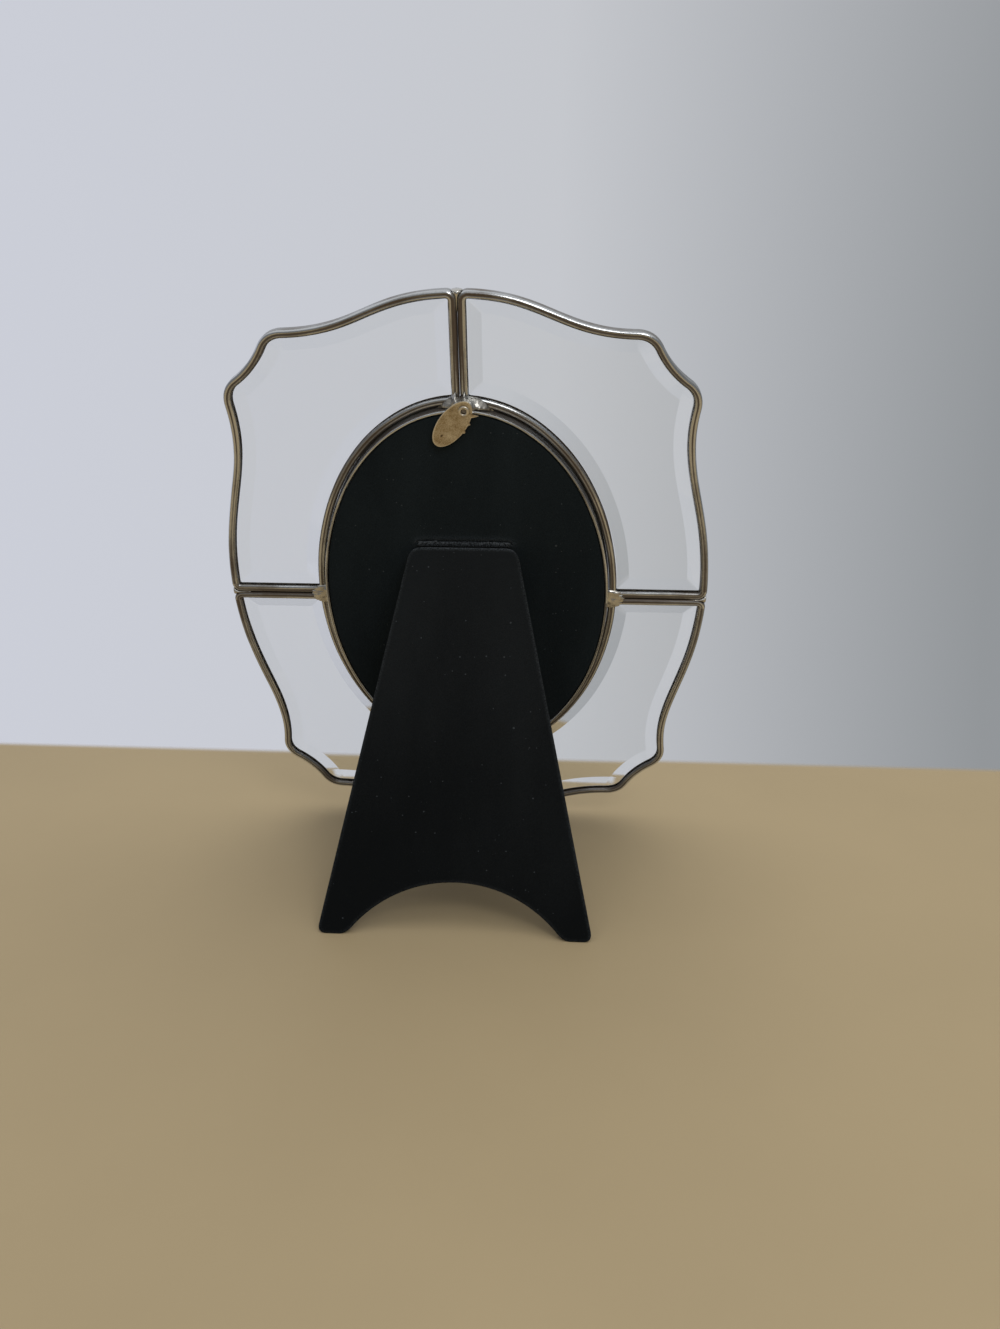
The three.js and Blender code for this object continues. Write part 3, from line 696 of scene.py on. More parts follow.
@kept
def dull_brass(finish, shades):
    """Stamped brass with a brown skin: rubbed bright at its edges, with scratches and spots, and a
    mark that also paints a highlight and a dark spot.
    """
    skin = finish.total(finish.span(finish.noise(260, 5), 0.3, 0.72, 0.0, 0.5),
                        finish.span(finish.noise(2400, 3), 0.3, 0.7, 0.0, 0.5))
    worn_and_highlit = finish.ramp(
        finish.math("SUBTRACT", skin, finish.mark("wear_and_highlight")),
        (0.0, shades.brass_bright), (0.75, shades.brass_dull), (1.0, shades.came_dark),
    )
    scratches = finish.noise(1, 4, finish.stretched((420, 420, 3800)))
    spots = finish.math("MULTIPLY", finish.specks(520, 0.24), 0.6)
    dents = finish.bump(finish.noise(300), 0.0002, 0.5)
    return finish.done(
        Metallic=1.0,
        Base_Color=finish.blend(spots, worn_and_highlit, shades.came_dark),
        Roughness=finish.span(scratches, 0.3, 0.7, 0.3, 0.48),
        Normal=finish.bump(scratches, 0.00003, 0.5, dents),
    )


@kept
def black_velvet(finish, shades):
    """Black flocked velvet: short upright pile, patches where the nap lies differently, lint and
    pale frayed threads, with painted light: a lighter, cooler copy and pale threads on shaded
    places.
    """
    pile = finish.noise(3600, 3)
    brushing_and_painted_light = finish.noise(34, 4, finish.stretched((1, 0.35, 0.35)))
    # The mark moves the ramp onto the lighter, cooler copy of the velvet: painted light.
    depth = finish.total(finish.span(pile, 0.3, 0.7, 0.0, 0.3),
                         finish.span(brushing_and_painted_light, 0.35, 0.7, 0.0, 0.19), finish.mark("brushing_and_painted_light"))
    cloth = finish.ramp(
        depth, (0.05, shades.velvet_deep), (0.47, shades.velvet_pile),
        (0.55, shades.painted_light_deep), (0.97, shades.painted_light_pile),
    )
    lint = finish.math("MAXIMUM", finish.specks(130, 0.08), finish.specks(380, 0.15))
    threads = finish.span(finish.noise(1900, 4), 0.38, 0.66, 0.0, 0.75)
    # Pale threads where a mark asks for them: frayed cloth, and painted light on shaded places.
    fray_and_painted_light = finish.math("MULTIPLY", finish.mark("fray_and_painted_light"), threads)
    pale = finish.math("MAXIMUM", finish.math("MULTIPLY", lint, 0.4), fray_and_painted_light)
    return finish.done(
        Base_Color=finish.blend(pale, cloth, shades.velvet_lint_and_painted_light),
        Roughness=1.0,
        Specular_IOR_Level=0.03,
        Sheen_Weight=0.05,
        Sheen_Roughness=0.35,
        Sheen_Tint=(0.5, 0.52, 0.53, 1),
        Normal=finish.bump(pile, 0.00035, 0.7, finish.bump(brushing_and_painted_light, 0.0012, 0.25)),
    )


@kept
def clear_glass(finish, shades):
    """Clear polished glass."""
    return finish.done(
        Transmission_Weight=1.0, IOR=1.5, Base_Color=(0.965, 0.975, 0.975, 1), Roughness=0.0,
    )


@kept
def raw_board(finish, shades):
    """Raw fibreboard: short mixed fibres."""
    fibres = finish.noise(1, 5, finish.stretched((900, 900, 260)))
    return finish.done(
        Base_Color=finish.ramp(fibres, (0.3, shades.board_fibre), (0.7, shades.board)),
        Roughness=0.92,
        Normal=finish.bump(fibres, 0.00012, 0.6),
    )


@kept
def plain_card(finish, shades):
    """Plain matt card: a faint mottle and fine fibres."""
    fibres = finish.total(finish.noise(1, 5, finish.stretched((700, 700, 320))),
                          finish.span(finish.noise(60, 3), 0.3, 0.7, -0.1, 0.1))
    return finish.done(
        Base_Color=finish.ramp(fibres, (0.25, shades.card_fibre), (0.6, shades.card)),
        Roughness=0.82,
        Normal=finish.bump(fibres, 0.00005, 0.5),
    )


# Pieces

class PieceOperator:
    """What the operators that make pieces share."""
    bl_options = {"REGISTER", "UNDO"}

    def execute(self, context):
        self.make(context.scene.oval_frame_shades)
        return {"FINISHED"}


class OVALFRAME_OT_panel_glass(PieceOperator, bpy.types.Operator):
    """Makes the four bevelled panels.

    Rows run from the back edge round to the front: edge, land under the came's lip, then the bevel
    up to the flat front, whose corners are mitred. The back and the flat front are plain faces.
    """
    bl_idname = "oval_frame.panel_glass"
    bl_label = "Panel glass"

    def make(self, shades):
        face = sizes("oval_frame_face")
        half = face.glass_edge / 2
        points, normals = panel_loop(face, face.came_bend)
        rim = face.came_width + face.glass_gap
        flat = panel_loop(face, rim + face.bevel_width, rounding=0)[0]
        edge = face.came_bend - face.came_web - face.glass_gap
        land = face.came_bend - face.came_width - face.glass_gap
        rows = [carried(points, normals, out, depth)
                for out, depth in ((edge, -half), (edge, half), (land, half))]
        grid = np.stack([*rows, raised(flat, face.glass_thickness - half)])
        for quarter, mirror in QUARTERS.items():
            make_piece(f"{quarter}_panel", leaning(grid * mirror), clear_glass(shades), "frame",
                       [f"{quarter}_glass"], rows_closed=False, capped=True, sharp=4)


class OVALFRAME_OT_came(PieceOperator, bpy.types.Operator):
    """Makes the four came loops.

    The section has a half ellipse behind and one in front of the glass groove, each with a crease
    along its crest, a bell curve of the angle. It is carried round the panel at its bend, strays
    along the normal by a sum of sine waves and twists by another. Patina lies on the lip edges.
    Painted shade lies as a dark line in the crease, and painted shade darkens the flanks along the
    dividers and the ring, where the came lies between parts.
    """
    bl_idname = "oval_frame.came"
    bl_label = "Came"

    def make(self, shades):
        face = sizes("oval_frame_face")
        half = face.came_width / 2
        groove = face.glass_edge / 2 + face.glass_gap
        rise = CAME_FRONT - face.came_shoulder
        crest, crease_width, crest_shade_width = np.pi / 2, 0.25, 0.22
        around = np.linspace(0, np.pi - np.arcsin((groove - face.came_shoulder) / rise), 25)
        crease = face.came_crease * bell(around, crest, crease_width)
        bead = np.stack([
            half * np.cos(around) - half,
            crease - face.came_shoulder - rise * np.sin(around),
        ], 1)
        web = -face.came_web
        section = np.concatenate([bead, [(web, -groove), (web, groove)], (bead * (1, -1))[::-1]])
        # Patina on the lip edges, plus painted shade: a dark line along the crest's crease.
        lip_grime_and_crest_shade = 0.3 * smooth_step(around, 0.72 * np.pi, np.pi)
        lip_grime_and_crest_shade += 0.85 * bell(around, crest, crest_shade_width)
        flanks = 0.9 * smooth_step(-around, -0.46 * np.pi, -0.14 * np.pi)
        lip_grime_and_crest_shade, flanks = (np.concatenate([row, [inside, inside], row[::-1]])[:, None]
                        for row, inside in ((lip_grime_and_crest_shade, 0.8), (flanks, 0)))
        points, normals = panel_loop(face, face.came_bend)
        # Painted shade on the came along the dividers and the ring, where it lies between parts.
        side_shade = (0, 0, 0, 1, 0.45, 1)
        crevice_shade = np.repeat(side_shade, len(points) // len(side_shade))
        blur = 6
        crevice_shade = np.mean([np.roll(crevice_shade, step) for step in range(-blur, blur + 1)], 0)
        share = running_length(points) / girth_of(points)
        aside, depth = section[:, :1] + half, section[:, 1:]
        for seed, (quarter, mirror) in enumerate(QUARTERS.items(), 1):
            stray = face.came_wobble * ripple(share, seed)
            roll = face.came_roll * ripple(share, seed + 0.5, (5, 11, 17))
            out = face.came_bend - half + stray + aside * np.cos(roll) - depth * np.sin(roll)
            grid = carried(points, normals, out, aside * np.sin(roll) + depth * np.cos(roll))
            make_piece(f"{quarter}_bead", leaning(grid * mirror), drawn_came(shades), "frame",
                       [f"{quarter}_came"], lined=True,
                       marks={"tarnish_and_shade": 0.05 + lip_grime_and_crest_shade + (flanks + 0.2) * crevice_shade})


class OVALFRAME_OT_oval_band(PieceOperator, bpy.types.Operator):
    """Makes the ring.

    The section is a wall with a flat lip in front and a bead along its back rim: an arc of a circle
    whose radius swells and shrinks by a sum of sine waves. The solder that joins the wall to the
    came is a bell curve on it. The section is carried round the ellipse.
    """
    bl_idname = "oval_frame.oval_band"
    bl_label = "Oval ring"

    def make(self, shades):
        oval = sizes("oval_frame_oval")
        count, soft, seam_width, bead_lap, bead_swell = 300, 0.15, 0.9, 0.35, 0.14
        points, normals = ellipse_at(full_turn(count))
        lip_back = RING_FRONT - oval.lip_thickness
        bead_middle = RIM_BACK + oval.rim_bead
        bead_foot = bead_middle + 0.2
        wall = np.linspace(RING_FRONT - soft, bead_foot, 26)
        seam = oval.seam_bulge * bell(wall, 0, seam_width)
        arc = np.linspace(-bead_lap, np.pi + bead_lap, 17)
        waves = ripple(np.arange(count) / count, 2.3, (9, 21, 34))
        radius = oval.rim_bead * (1 + bead_swell * waves)
        bead = [
            np.stack([radius * np.cos(a) - oval.ring_wall / 2, bead_middle - radius * np.sin(a)])
            for a in arc
        ]

        def even(rows):
            return [np.broadcast_to(np.array(row)[:, None], (2, count)) for row in rows]

        outside = even([(-soft, RING_FRONT), *zip(seam, wall)])
        inside = even([
            (-oval.ring_wall, bead_foot), (-oval.ring_wall, lip_back),
            (soft - oval.lip_width, lip_back), (-oval.lip_width, lip_back + soft),
            (-oval.lip_width, RING_FRONT - soft), (soft - oval.lip_width, RING_FRONT),
        ])
        section = np.stack(outside + bead + inside)
        # The wall, in the recess between the came and the rim bead, is dark with patina and painted
        # shade; the rim bead is nearly bare.
        tarnish_and_shade = np.concatenate([
            [0.2], 0.5 - 0.1 * smooth_step(-wall, -2, 0.5), np.full(len(arc), 0.02),
            [0.6, 0.5, 0.3, 0.2, 0.15, 0.15],
        ])
        grid = carried(points, normals, section[:, 0], section[:, 1])
        make_piece("oval_band", leaning(grid), drawn_came(shades), "frame",
                   ["oval_ring"], lined=True, marks={"tarnish_and_shade": tarnish_and_shade[:, None]})


class OVALFRAME_OT_velvet_back(PieceOperator, bpy.types.Operator):
    """Makes the velvet over the backing board.

    Straight lines run from the slit, a superellipse, out to the oval. Along them the cloth rises in
    a welt at the slit, a bell curve of the distance from it, swells slightly in the middle and
    rolls over the board's edge in a quarter circle. It closes over its own underside.
    """
    bl_idname = "oval_frame.velvet_back"
    bl_label = "Velvet back"

    def make(self, shades):
        oval = sizes("oval_frame_oval")
        count = 320
        around = full_turn(count)
        circle = compass(around)
        slit_half = (oval.slit_width / 2, oval.slit_gap / 2)
        slit = np.sign(circle) * np.abs(circle) ** (1 / 3) * slit_half
        slit[:, 1] += oval.slit_height
        edge = ellipse_at(around, RING_HALF[0] - VELVET_HIGH[0])[0]
        reach = np.linalg.norm(edge - slit, axis=1)
        welt_band, welt_middle, welt_width = 5, 1.0, 0.9
        roll, tuck, tuck_width, fray_width = 0.8, 0.25, 0.15, 1.2
        near = np.concatenate([[0, 0.1, 0.3], np.linspace(0.6, welt_band, 9)])
        shares = np.linspace(0, 1, 24)[1:-1]
        far = roll * (1 - np.sin(np.linspace(0, np.pi / 2, 7)))
        run = np.concatenate([
            np.broadcast_to(near[:, None], (len(near), count)),
            welt_band + shares[:, None] * (reach - welt_band - roll),
            reach - far[:, None],
        ])
        back, front = VELVET_LOW[1], VELVET_HIGH[1]
        over = np.clip(roll - (reach - run), 0, roll)
        rounding = roll - np.sqrt(np.clip(roll ** 2 - over ** 2, 0, None))
        welt = oval.welt_rise * (1 + 0.5 * ripple(around / (2 * np.pi), 1.7, (4, 9, 16)))
        depth = back + rounding - welt * bell(run, welt_middle, welt_width)
        depth -= oval.velvet_crown * np.sin(np.pi * np.clip(run / reach, 0, 1)) ** 2
        depth += tuck * np.exp(-run / tuck_width)
        flat = slit + (edge - slit) * (run / reach)[..., None]
        inner = slit + (edge - slit) * ((reach - oval.velvet_thickness) / reach)[:, None]
        under = back + oval.velvet_thickness
        underside = np.stack([
            raised(edge, front + 0.3), raised((edge + inner) / 2, front),
            raised(inner, front + 0.2), raised(inner, under), raised(slit, under),
        ])
        grid = np.concatenate([raised(flat, depth), underside])
        # Pale frayed threads near the slit, which are also painted light on the shade under it.
        fray_and_painted_light = np.concatenate([np.exp(-run / fray_width), np.zeros(underside.shape[:2])])
        # Painted light: the whole back takes the lighter, cooler copy of the velvet.
        thing = make_piece("velvet_back", leaning(grid), black_velvet(shades), "frame",
                           ["backing_velvet"], marks={"fray_and_painted_light": fray_and_painted_light, "brushing_and_painted_light": 0.5})


class OVALFRAME_OT_cloth_tongue(PieceOperator, bpy.types.Operator):
    """Makes the cloth tongue that carries the leg.

    A strip comes level out of the slit and folds down over a quarter circle. Its section, the
    fold's line with half the thickness to each side and a round foot, is carried across the slit,
    and its torn upper face wanders by a sum of sine waves.
    """
    bl_idname = "oval_frame.cloth_tongue"
    bl_label = "Cloth tongue"

    def make(self, shades):
        oval = sizes("oval_frame_oval")
        low, high = span("hinge_tongue")
        half, radius, end_gap = oval.tongue_thickness / 2, 0.5, 0.1
        level_run, foot_gap, least_length = 2, 0.15, 10
        x = np.linspace(low[0] + end_gap, high[0] - end_gap, 110)
        share = (x - x[0]) / (x[-1] - x[0])
        middle_y, middle_z = low[1] + half, high[2] - half
        bend = np.linspace(0, np.pi / 2, 7)
        line = np.concatenate([
            [(high[1], middle_z), (middle_y + level_run, middle_z)],
            np.stack([middle_y + radius - radius * np.sin(bend),
                      middle_z - radius + radius * np.cos(bend)], 1),
            [(middle_y, low[2] + half + foot_gap)],
        ])
        along = np.gradient(line, axis=0)
        normal = normalised(np.stack([along[:, 1], -along[:, 0]], 1))
        round_foot = line[-1] + half * compass(np.linspace(np.pi, 2 * np.pi, 7)[1:-1])
        section = np.concatenate([line + half * normal, round_foot, (line - half * normal)[::-1]])
        outer = smooth_step(-section[:, 0], -middle_y - 0.3, -middle_y + 0.3)
        ends = smooth_step(np.abs(share - 0.5), 0.1, 0.32)
        tear = ripple(share, 0.6, (2, 5, 11, 19))
        torn = oval.tongue_fray * (0.35 + 0.5 * ends + (0.3 + 0.5 * ends) * tear)
        lifted = smooth_step(section[:, 1], middle_z - 0.6, middle_z + 0.2) * outer
        y = section[:, :1] + 0.12 * outer[:, None] * np.abs(torn)
        z = section[:, 1:] + lifted[:, None] * torn
        grid = np.stack([np.broadcast_to(x, y.shape), y, z], -1)
        # Painted light: pale threads over the whole tongue lift its shade; more lie along its torn
        # upper edge, which is frayed.
        thing = make_piece("cloth_tongue", leaning(grid), black_velvet(shades), "frame",
                           ["hinge_tongue"], columns_closed=False, capped=True,
                           marks={"fray_and_painted_light": 1.1 + lifted[:, None] * ends})


def standing(points, leg):
    """Millimetres about the hinge, along the leg, to metres in the row frame."""
    return (turned(points, LEAN - leg.opening) + HINGE) * MM


def reach_at(leg, depth):
    """How far down the leg the table is, at a depth behind the hinge line."""
    tilt = leg.opening - LEAN
    return (HINGE[2] - depth * np.sin(tilt)) / np.cos(tilt)


def leg_outline(leg, inset, reach):
    """The leg's outline pulled in by an inset, with its feet at a reach below the hinge.

    One half runs from the top's middle: top edge, shoulder curve, flared side, outer foot curve,
    sole, inner foot curve and the arch's arc. The other half is its mirror image.
    """
    slope = np.tan(leg.flare)

    def half_at(down):
        return leg.top_width / 2 + slope * down - inset / np.cos(leg.flare)

    top, arch = leg.top_gap + inset, leg.arch_radius + inset
    middle = reach_at(leg, -leg.stand_off) - leg.arch_rise + leg.arch_radius
    top_radius, foot_radius = leg.top_radius - inset, leg.foot_outer_radius - inset
    inner = np.sqrt(arch ** 2 - (middle - reach) ** 2)
    start = np.arcsin((middle - reach + leg.foot_inner_radius) / arch)
    arc = arch * compass(np.linspace(start, np.pi / 2, 40)) - (0, middle)
    shoulder = [(half_at(top) - top_radius, -top), (half_at(top), -top),
                (half_at(top + top_radius), -top - top_radius)]
    outer_foot = [(half_at(reach - foot_radius), foot_radius - reach), (half_at(reach), -reach),
                  (half_at(reach) - foot_radius, -reach)]
    inner_foot = [(inner + leg.foot_inner_radius, -reach), (inner, -reach), arc[0]]
    lines = (
        ([(0, -top), shoulder[0]], 16), (shoulder, 10), ([shoulder[-1], outer_foot[0]], 70),
        (outer_foot, 10), ([outer_foot[-1], inner_foot[0]], 8), (inner_foot, 10),
    )
    half = np.concatenate([*(bezier(line, count)[0][:-1] for line, count in lines), arc])
    return np.concatenate([half, half[-2:0:-1] * (-1, 1)])


class OVALFRAME_OT_leg_cover(PieceOperator, bpy.types.Operator):
    """Makes the leg's velvet: a cover over its back and edges, and a lining on its inner face.

    Each row is the leg's outline pulled in by an inset at some depth. Insets and depths follow a
    rounded edge from the lining's pocket round to the flat back.
    """
    bl_idname = "oval_frame.leg_cover"
    bl_label = "Leg velvet"

    def make(self, shades):
        leg = sizes("oval_frame_leg")
        front, skin = -leg.stand_off, leg.skin
        back = front - leg.thickness

        def rows_of(section):
            return np.stack([
                raised(leg_outline(leg, inset, reach_at(leg, depth) - inset), depth)
                for inset, depth in section
            ])

        grid = rows_of([
            (skin, back + skin), (skin, front - 0.05), (0.25, front), (0.05, front - 0.15),
            (0, front - 0.5), (0, back + 0.8), (0.1, back + 0.4), (0.35, back + 0.15),
            (0.8, back + 0.03), (1.6, back),
        ])
        edge = np.array([0, 0.1, 0.5, 0.5, 0.45, 0.45, 0.6, 0.6, 0.3, 0.0])
        # Pale frayed threads along the edges, more at the top edge: partly painted light that lifts
        # the shade under the tongue.
        top = smooth_step(grid[..., 2], -3, -1)
        # Painted light: the velvet turns lighter towards the top of the leg and darker towards its
        # feet.
        marks = {
            "fray_and_painted_light": edge[:, None] * (0.6 + 1.4 * top),
            "brushing_and_painted_light": np.interp(grid[..., 2], (-150, 0), (-0.25, 0.2)),
        }
        cover_piece = make_piece("leg_cover", standing(grid, leg), black_velvet(shades), "leg",
                                 ["leg_velvet"], rows_closed=False, capped=True,
                                 marks=marks, sharp=60)
        outline = leg_outline(leg, 0, reach_at(leg, front))

        lining_gap = 0.3
        inset = skin + lining_gap
        grid = rows_of([
            (inset + 0.25, front), (inset, front - 0.12), (inset, front - leg.lining + 0.1),
            (inset + 0.1, front - leg.lining),
        ])
        lining_piece = make_piece("leg_inner_cloth", standing(grid, leg), black_velvet(shades),
                                  "leg", ["leg_lining"], rows_closed=False, capped=True,
                                  marks={"fray_and_painted_light": 0.05})
        outline = leg_outline(leg, inset, reach_at(leg, front) - inset)


class OVALFRAME_OT_toothed_tab(PieceOperator, bpy.types.Operator):
    """Makes the turn clip.

    Its edge is an ellipse set off its pivot, moved out in straight-sided points at three places on
    its right. Straight lines run from the eyelet's hole to the edge; along them the faces are flat
    and the edge is rounded.
    """
    bl_idname = "oval_frame.toothed_tab"
    bl_label = "Turn clip"

    def make(self, shades):
        clip = sizes("oval_frame_clip")
        degrees = np.arange(360)
        tips = np.array([1, 21, 41])[:, None]
        tooth_half_width, hole_gap, soft, punch_spread = 4, 0.3, 0.16, 0.12
        teeth = np.array([clip.tooth_reach, clip.tooth_reach, clip.spur_reach])[:, None]
        away = np.abs((degrees - tips + 180) % 360 - 180)
        out = (teeth * np.clip(1 - away / tooth_half_width, 0, None)).sum(0)
        around = np.radians(degrees)
        edge = np.stack([
            (clip.clip_width / 2 + out) * np.cos(around) - clip.pivot_aside,
            (clip.clip_length / 2 + out) * np.sin(around) + clip.pivot_inset - clip.clip_length / 2,
        ], 1)
        hole = normalised(edge) * (clip.eyelet_shank + hole_gap)
        reach = np.linalg.norm(edge - hole, axis=1)
        half = (CLIP_FRONT - CLIP_BACK) / 2
        back = [(reach * share, CLIP_BACK) for share in np.linspace(0, 0.96, 25)]
        rounding = [(reach - soft + soft * np.sin(a), CLIP_BACK + half - half * np.cos(a))
                    for a in np.linspace(0, np.pi, 7)]
        front = [(reach * share, CLIP_FRONT) for share in (0.9, 0.6, 0.3, 0.0)]
        run, depth = zip(*back, *rounding, *front)
        run, depth = np.stack(run), np.array(depth)[:, None]
        flat = hole + (edge - hole) * (run / reach)[..., None]
        cos, sin = np.cos(clip.clip_turn), np.sin(clip.clip_turn)
        x = flat[..., 0] * cos + flat[..., 1] * sin
        z = flat[..., 1] * cos - flat[..., 0] * sin
        grid = raised(np.stack([x, z], -1) + PIVOT[[0, 2]], depth)
        punch = (clip.dimple_aside, -clip.dimple_drop)
        dimple = np.exp(-((flat - punch) ** 2).sum(-1) / punch_spread)
        # Rubbed edges all round, with a painted highlight along the lower left edge, where the
        # rounded edge catches the light; the punch mark is only a dark spot, with no dent.
        to_lower_left = (-0.98, -0.17)
        lower_left = smooth_step((edge - hole) @ to_lower_left / reach, -0.4, 0.5)
        rim = smooth_step(run - reach, -0.75, -0.3)
        make_piece("toothed_tab", leaning(grid), dull_brass(shades), "clip", ["turn_clip"],
                   marks={"wear_and_highlight": (0.3 + 0.9 * lower_left) * rim - 1.6 * dimple})


class OVALFRAME_OT_eyelet(PieceOperator, bpy.types.Operator):
    """Makes the eyelet: a shank and a rolled head, half an elliptical ring, turned about a line."""
    bl_idname = "oval_frame.eyelet"
    bl_label = "Eyelet"

    def make(self, shades):
        clip = sizes("oval_frame_clip")
        back, front = (corner[1] for corner in span("clip_rivet"))
        middle = (clip.eyelet_head + clip.eyelet_bore) / 2
        half = (clip.eyelet_head - clip.eyelet_bore) / 2
        around = np.linspace(0, np.pi, 15)
        roll = np.stack([
            middle + half * np.cos(around), back + clip.eyelet_roll * (1 - np.sin(around)),
        ], 1)
        shank = [(clip.eyelet_shank, front), (clip.eyelet_shank, back + clip.eyelet_roll)]
        section = np.concatenate([shank, roll, [(clip.eyelet_bore, front)]])
        circle = compass(full_turn(48))
        grid = raised(section[:, :1, None] * circle + PIVOT[[0, 2]], section[:, 1:])
        wear_and_highlight = np.concatenate([[0, 0], np.sin(around) * 0.5, [-0.4]])
        make_piece("eyelet", leaning(grid), dull_brass(shades), "frame", ["clip_rivet"],
                   marks={"wear_and_highlight": wear_and_highlight[:, None]}, sharp=50)


class OVALFRAME_OT_solder(PieceOperator, bpy.types.Operator):
    """Makes the solder: a boss under the eyelet, pads beside the ring and seams at the outline."""
    bl_idname = "oval_frame.solder"
    bl_label = "Solder"

    def make(self, shades):
        clip, face = sizes("oval_frame_clip"), sizes("oval_frame_face")
        finish = lumpy_solder(shades)
        self.boss(clip, finish)
        for seed, name in enumerate(("bottom", "left", "right"), 1):
            self.pad(name, clip, seed, finish)
        for name in ("top", "bottom", "left", "right"):
            self.seam(name, clip, face, finish)

    def boss(self, clip, finish):
        """A saddle of solder in the corner between the ring's wall and the came.

        Along the ring it swells as 1 less a power of the distance from its middle. Outwards it
        falls from the rim to the came as a power of what is left of the way, with two short tips up
        the divider. Sine waves make it lumpy, and a mound rises under the eyelet.
        """
        wall_gap, skirt, spread = 0.06, 0.4, 3.7
        tip_aside, tip_width = 1.75, 0.85
        mound_half_width, mound_foot, mound_top = 4.2, 4.6, 2.4
        across = np.linspace(-1, 1, 121)
        up = np.linspace(0, 1, 61)[:, None]
        x = across * clip.boss_width / 2 + clip.boss_aside
        wall = RING_HALF[1] * np.sqrt(1 - (x / RING_HALF[0]) ** 2)
        foot = wall + wall_gap
        swell = np.clip(1 - np.abs(across) ** 3.5, 0, 1)
        near = np.clip(1 - ((x - PIVOT[0]) / mound_half_width) ** 2, 0, 1) ** 0.8
        low = foot - (foot - PIVOT[2] + clip.boss_foot) * near
        tips = bell(np.abs(x), tip_aside, tip_width)
        top = PIVOT[2] - clip.boss_foot + clip.boss_rise
        high = wall + skirt + spread * swell + (top - wall - skirt - spread) * tips
        z = low + (high - low) * up
        out = np.clip((z - wall) / (high - wall), 0, 1)
        lumps = 0.3 * np.sin(0.7 * x + 0.9 * z) * np.sin(0.9 * x - 0.6 * z + 1)
        lumps += 0.09 * np.sin(2.6 * x - 1.9 * z)
        fall = (1 - out) ** 0.9
        edge = CAME_BACK + 0.4 - 0.85 * smooth_step(swell, 0.1, 0.7)
        saddle = edge + (RIM_BACK - 0.1 - edge) * fall * swell - 0.45 * tips * out ** 0.5
        mound = smooth_step(-np.hypot(x - PIVOT[0], z - PIVOT[2]), -mound_foot, -mound_top)
        over = smooth_step(-z, -wall - 0.02, -wall + 0.3)
        under = CAME_BACK + 1 + (RIM_BACK - 0.25 - CAME_BACK - 1) * over
        round_edge = half_round(2 * up - 1) ** 0.5 * (1 - across ** 8)
        behind = np.minimum(saddle + lumps * swell * (1 - mound), under)
        behind = np.minimum(behind + (BOSS_BACK + 0.01 - behind) * mound, under - 0.03)
        behind = under + (behind - under) * round_edge
        outline = np.stack([np.broadcast_to(x, z.shape), z], -1)
        grid = np.concatenate([raised(outline, behind), raised(outline, under)[::-1]])
        tarnish_and_shade = 0.42 - 0.3 * np.concatenate([tips * out, 0 * z])
        make_piece("solder_boss", leaning(grid), finish, "frame", ["solder_top_inner"],
                   columns_closed=False, marks={"tarnish_and_shade": tarnish_and_shade}, sharp=70)

    def pad(self, name, clip, seed, finish):
        """A quarter of a flattened ball.

        Out from the ring's wall it runs a half ellipse's width. Behind the came it stands by the
        square root of what is left of both spans, with sine waves for lumps.
        """
        across = np.linspace(-1, 1, 49)
        out = np.sin(np.linspace(0, np.pi / 2, 21))[:, None]
        middle, radius = {
            "bottom": (-np.pi / 2, RING_HALF[0]),
            "left": (np.pi, RING_HALF[1]),
            "right": (0.0, RING_HALF[1]),
        }[name]
        points, normals = ellipse_at(middle + across * clip.pad_width / 2 / radius)
        reach = clip.pad_reach * half_round(across) * (1 + 0.12 * ripple(across / 2, seed))
        wall_gap, sunk = 0.05, 0.5
        away = wall_gap + out * reach
        dome = half_round(out) * half_round(across)
        dome = dome * (0.85 + 0.2 * np.sin(5 * across + 2 * seed) * np.sin(5 * out + seed))
        under = CAME_BACK + sunk
        grid = np.concatenate([
            carried(points, normals, away, under - (clip.pad_rise + sunk) * dome),
            carried(points, normals, away, under)[::-1],
        ])
        make_piece(f"solder_pad_{name}", leaning(grid), finish, "frame",
                   [f"solder_{name}_inner"], columns_closed=False, marks={"tarnish_and_shade": 0.25},
                   sharp=70)

    def seam(self, name, clip, face, finish):
        """Solder in the notch at the outline, thinning out along the divider.

        Its half width falls off as an exponential from the notch's and then as a square root to
        nothing. Its section is an ellipse whose depth follows the came's half-round bead.
        """
        mouth_length, notch_length, least_half_width, proud = 0.6, 1.1, 0.62, 0.12
        tall = name in ("top", "bottom")
        sign = 1 if name in ("top", "right") else -1
        end = (face.frame_height if tall else face.frame_width) / 2 - clip.seam_set_back
        along = np.concatenate([[0, 0.1, 0.3], np.linspace(mouth_length, clip.seam_reach, 40)])
        taper = np.sqrt(1 - along / clip.seam_reach)
        mouth = np.sqrt(1 - np.clip(1 - along / mouth_length, 0, 1) ** 2 * 0.75)
        notch = clip.seam_width / 2 * np.exp(-along / notch_length)
        wide = (notch + least_half_width) * taper * mouth
        half = face.came_width / 2
        bead = half_round(np.clip(1 - (along + clip.seam_set_back) / half, 0, 1))
        rise = -CAME_BACK - face.came_shoulder
        deep = (face.came_shoulder + rise * bead + proud * mouth) * taper ** 0.25
        around = full_turn(40)
        waver = 1 + 0.06 * np.sin(2.2 * along[:, None] + 3 * around)
        aside = wide[:, None] * np.cos(around) * waver
        depth = deep[:, None] * np.sin(around)
        run = np.broadcast_to(sign * (end - along)[:, None], aside.shape)
        grid = np.stack([aside, depth, run] if tall else [run, depth, aside], -1)
        make_piece(f"solder_seam_{name}", leaning(grid), finish, "frame",
                   [f"solder_{name}_outer"], rows_closed=False, capped=True,
                   marks={"tarnish_and_shade": 0.06}, sharp=70)


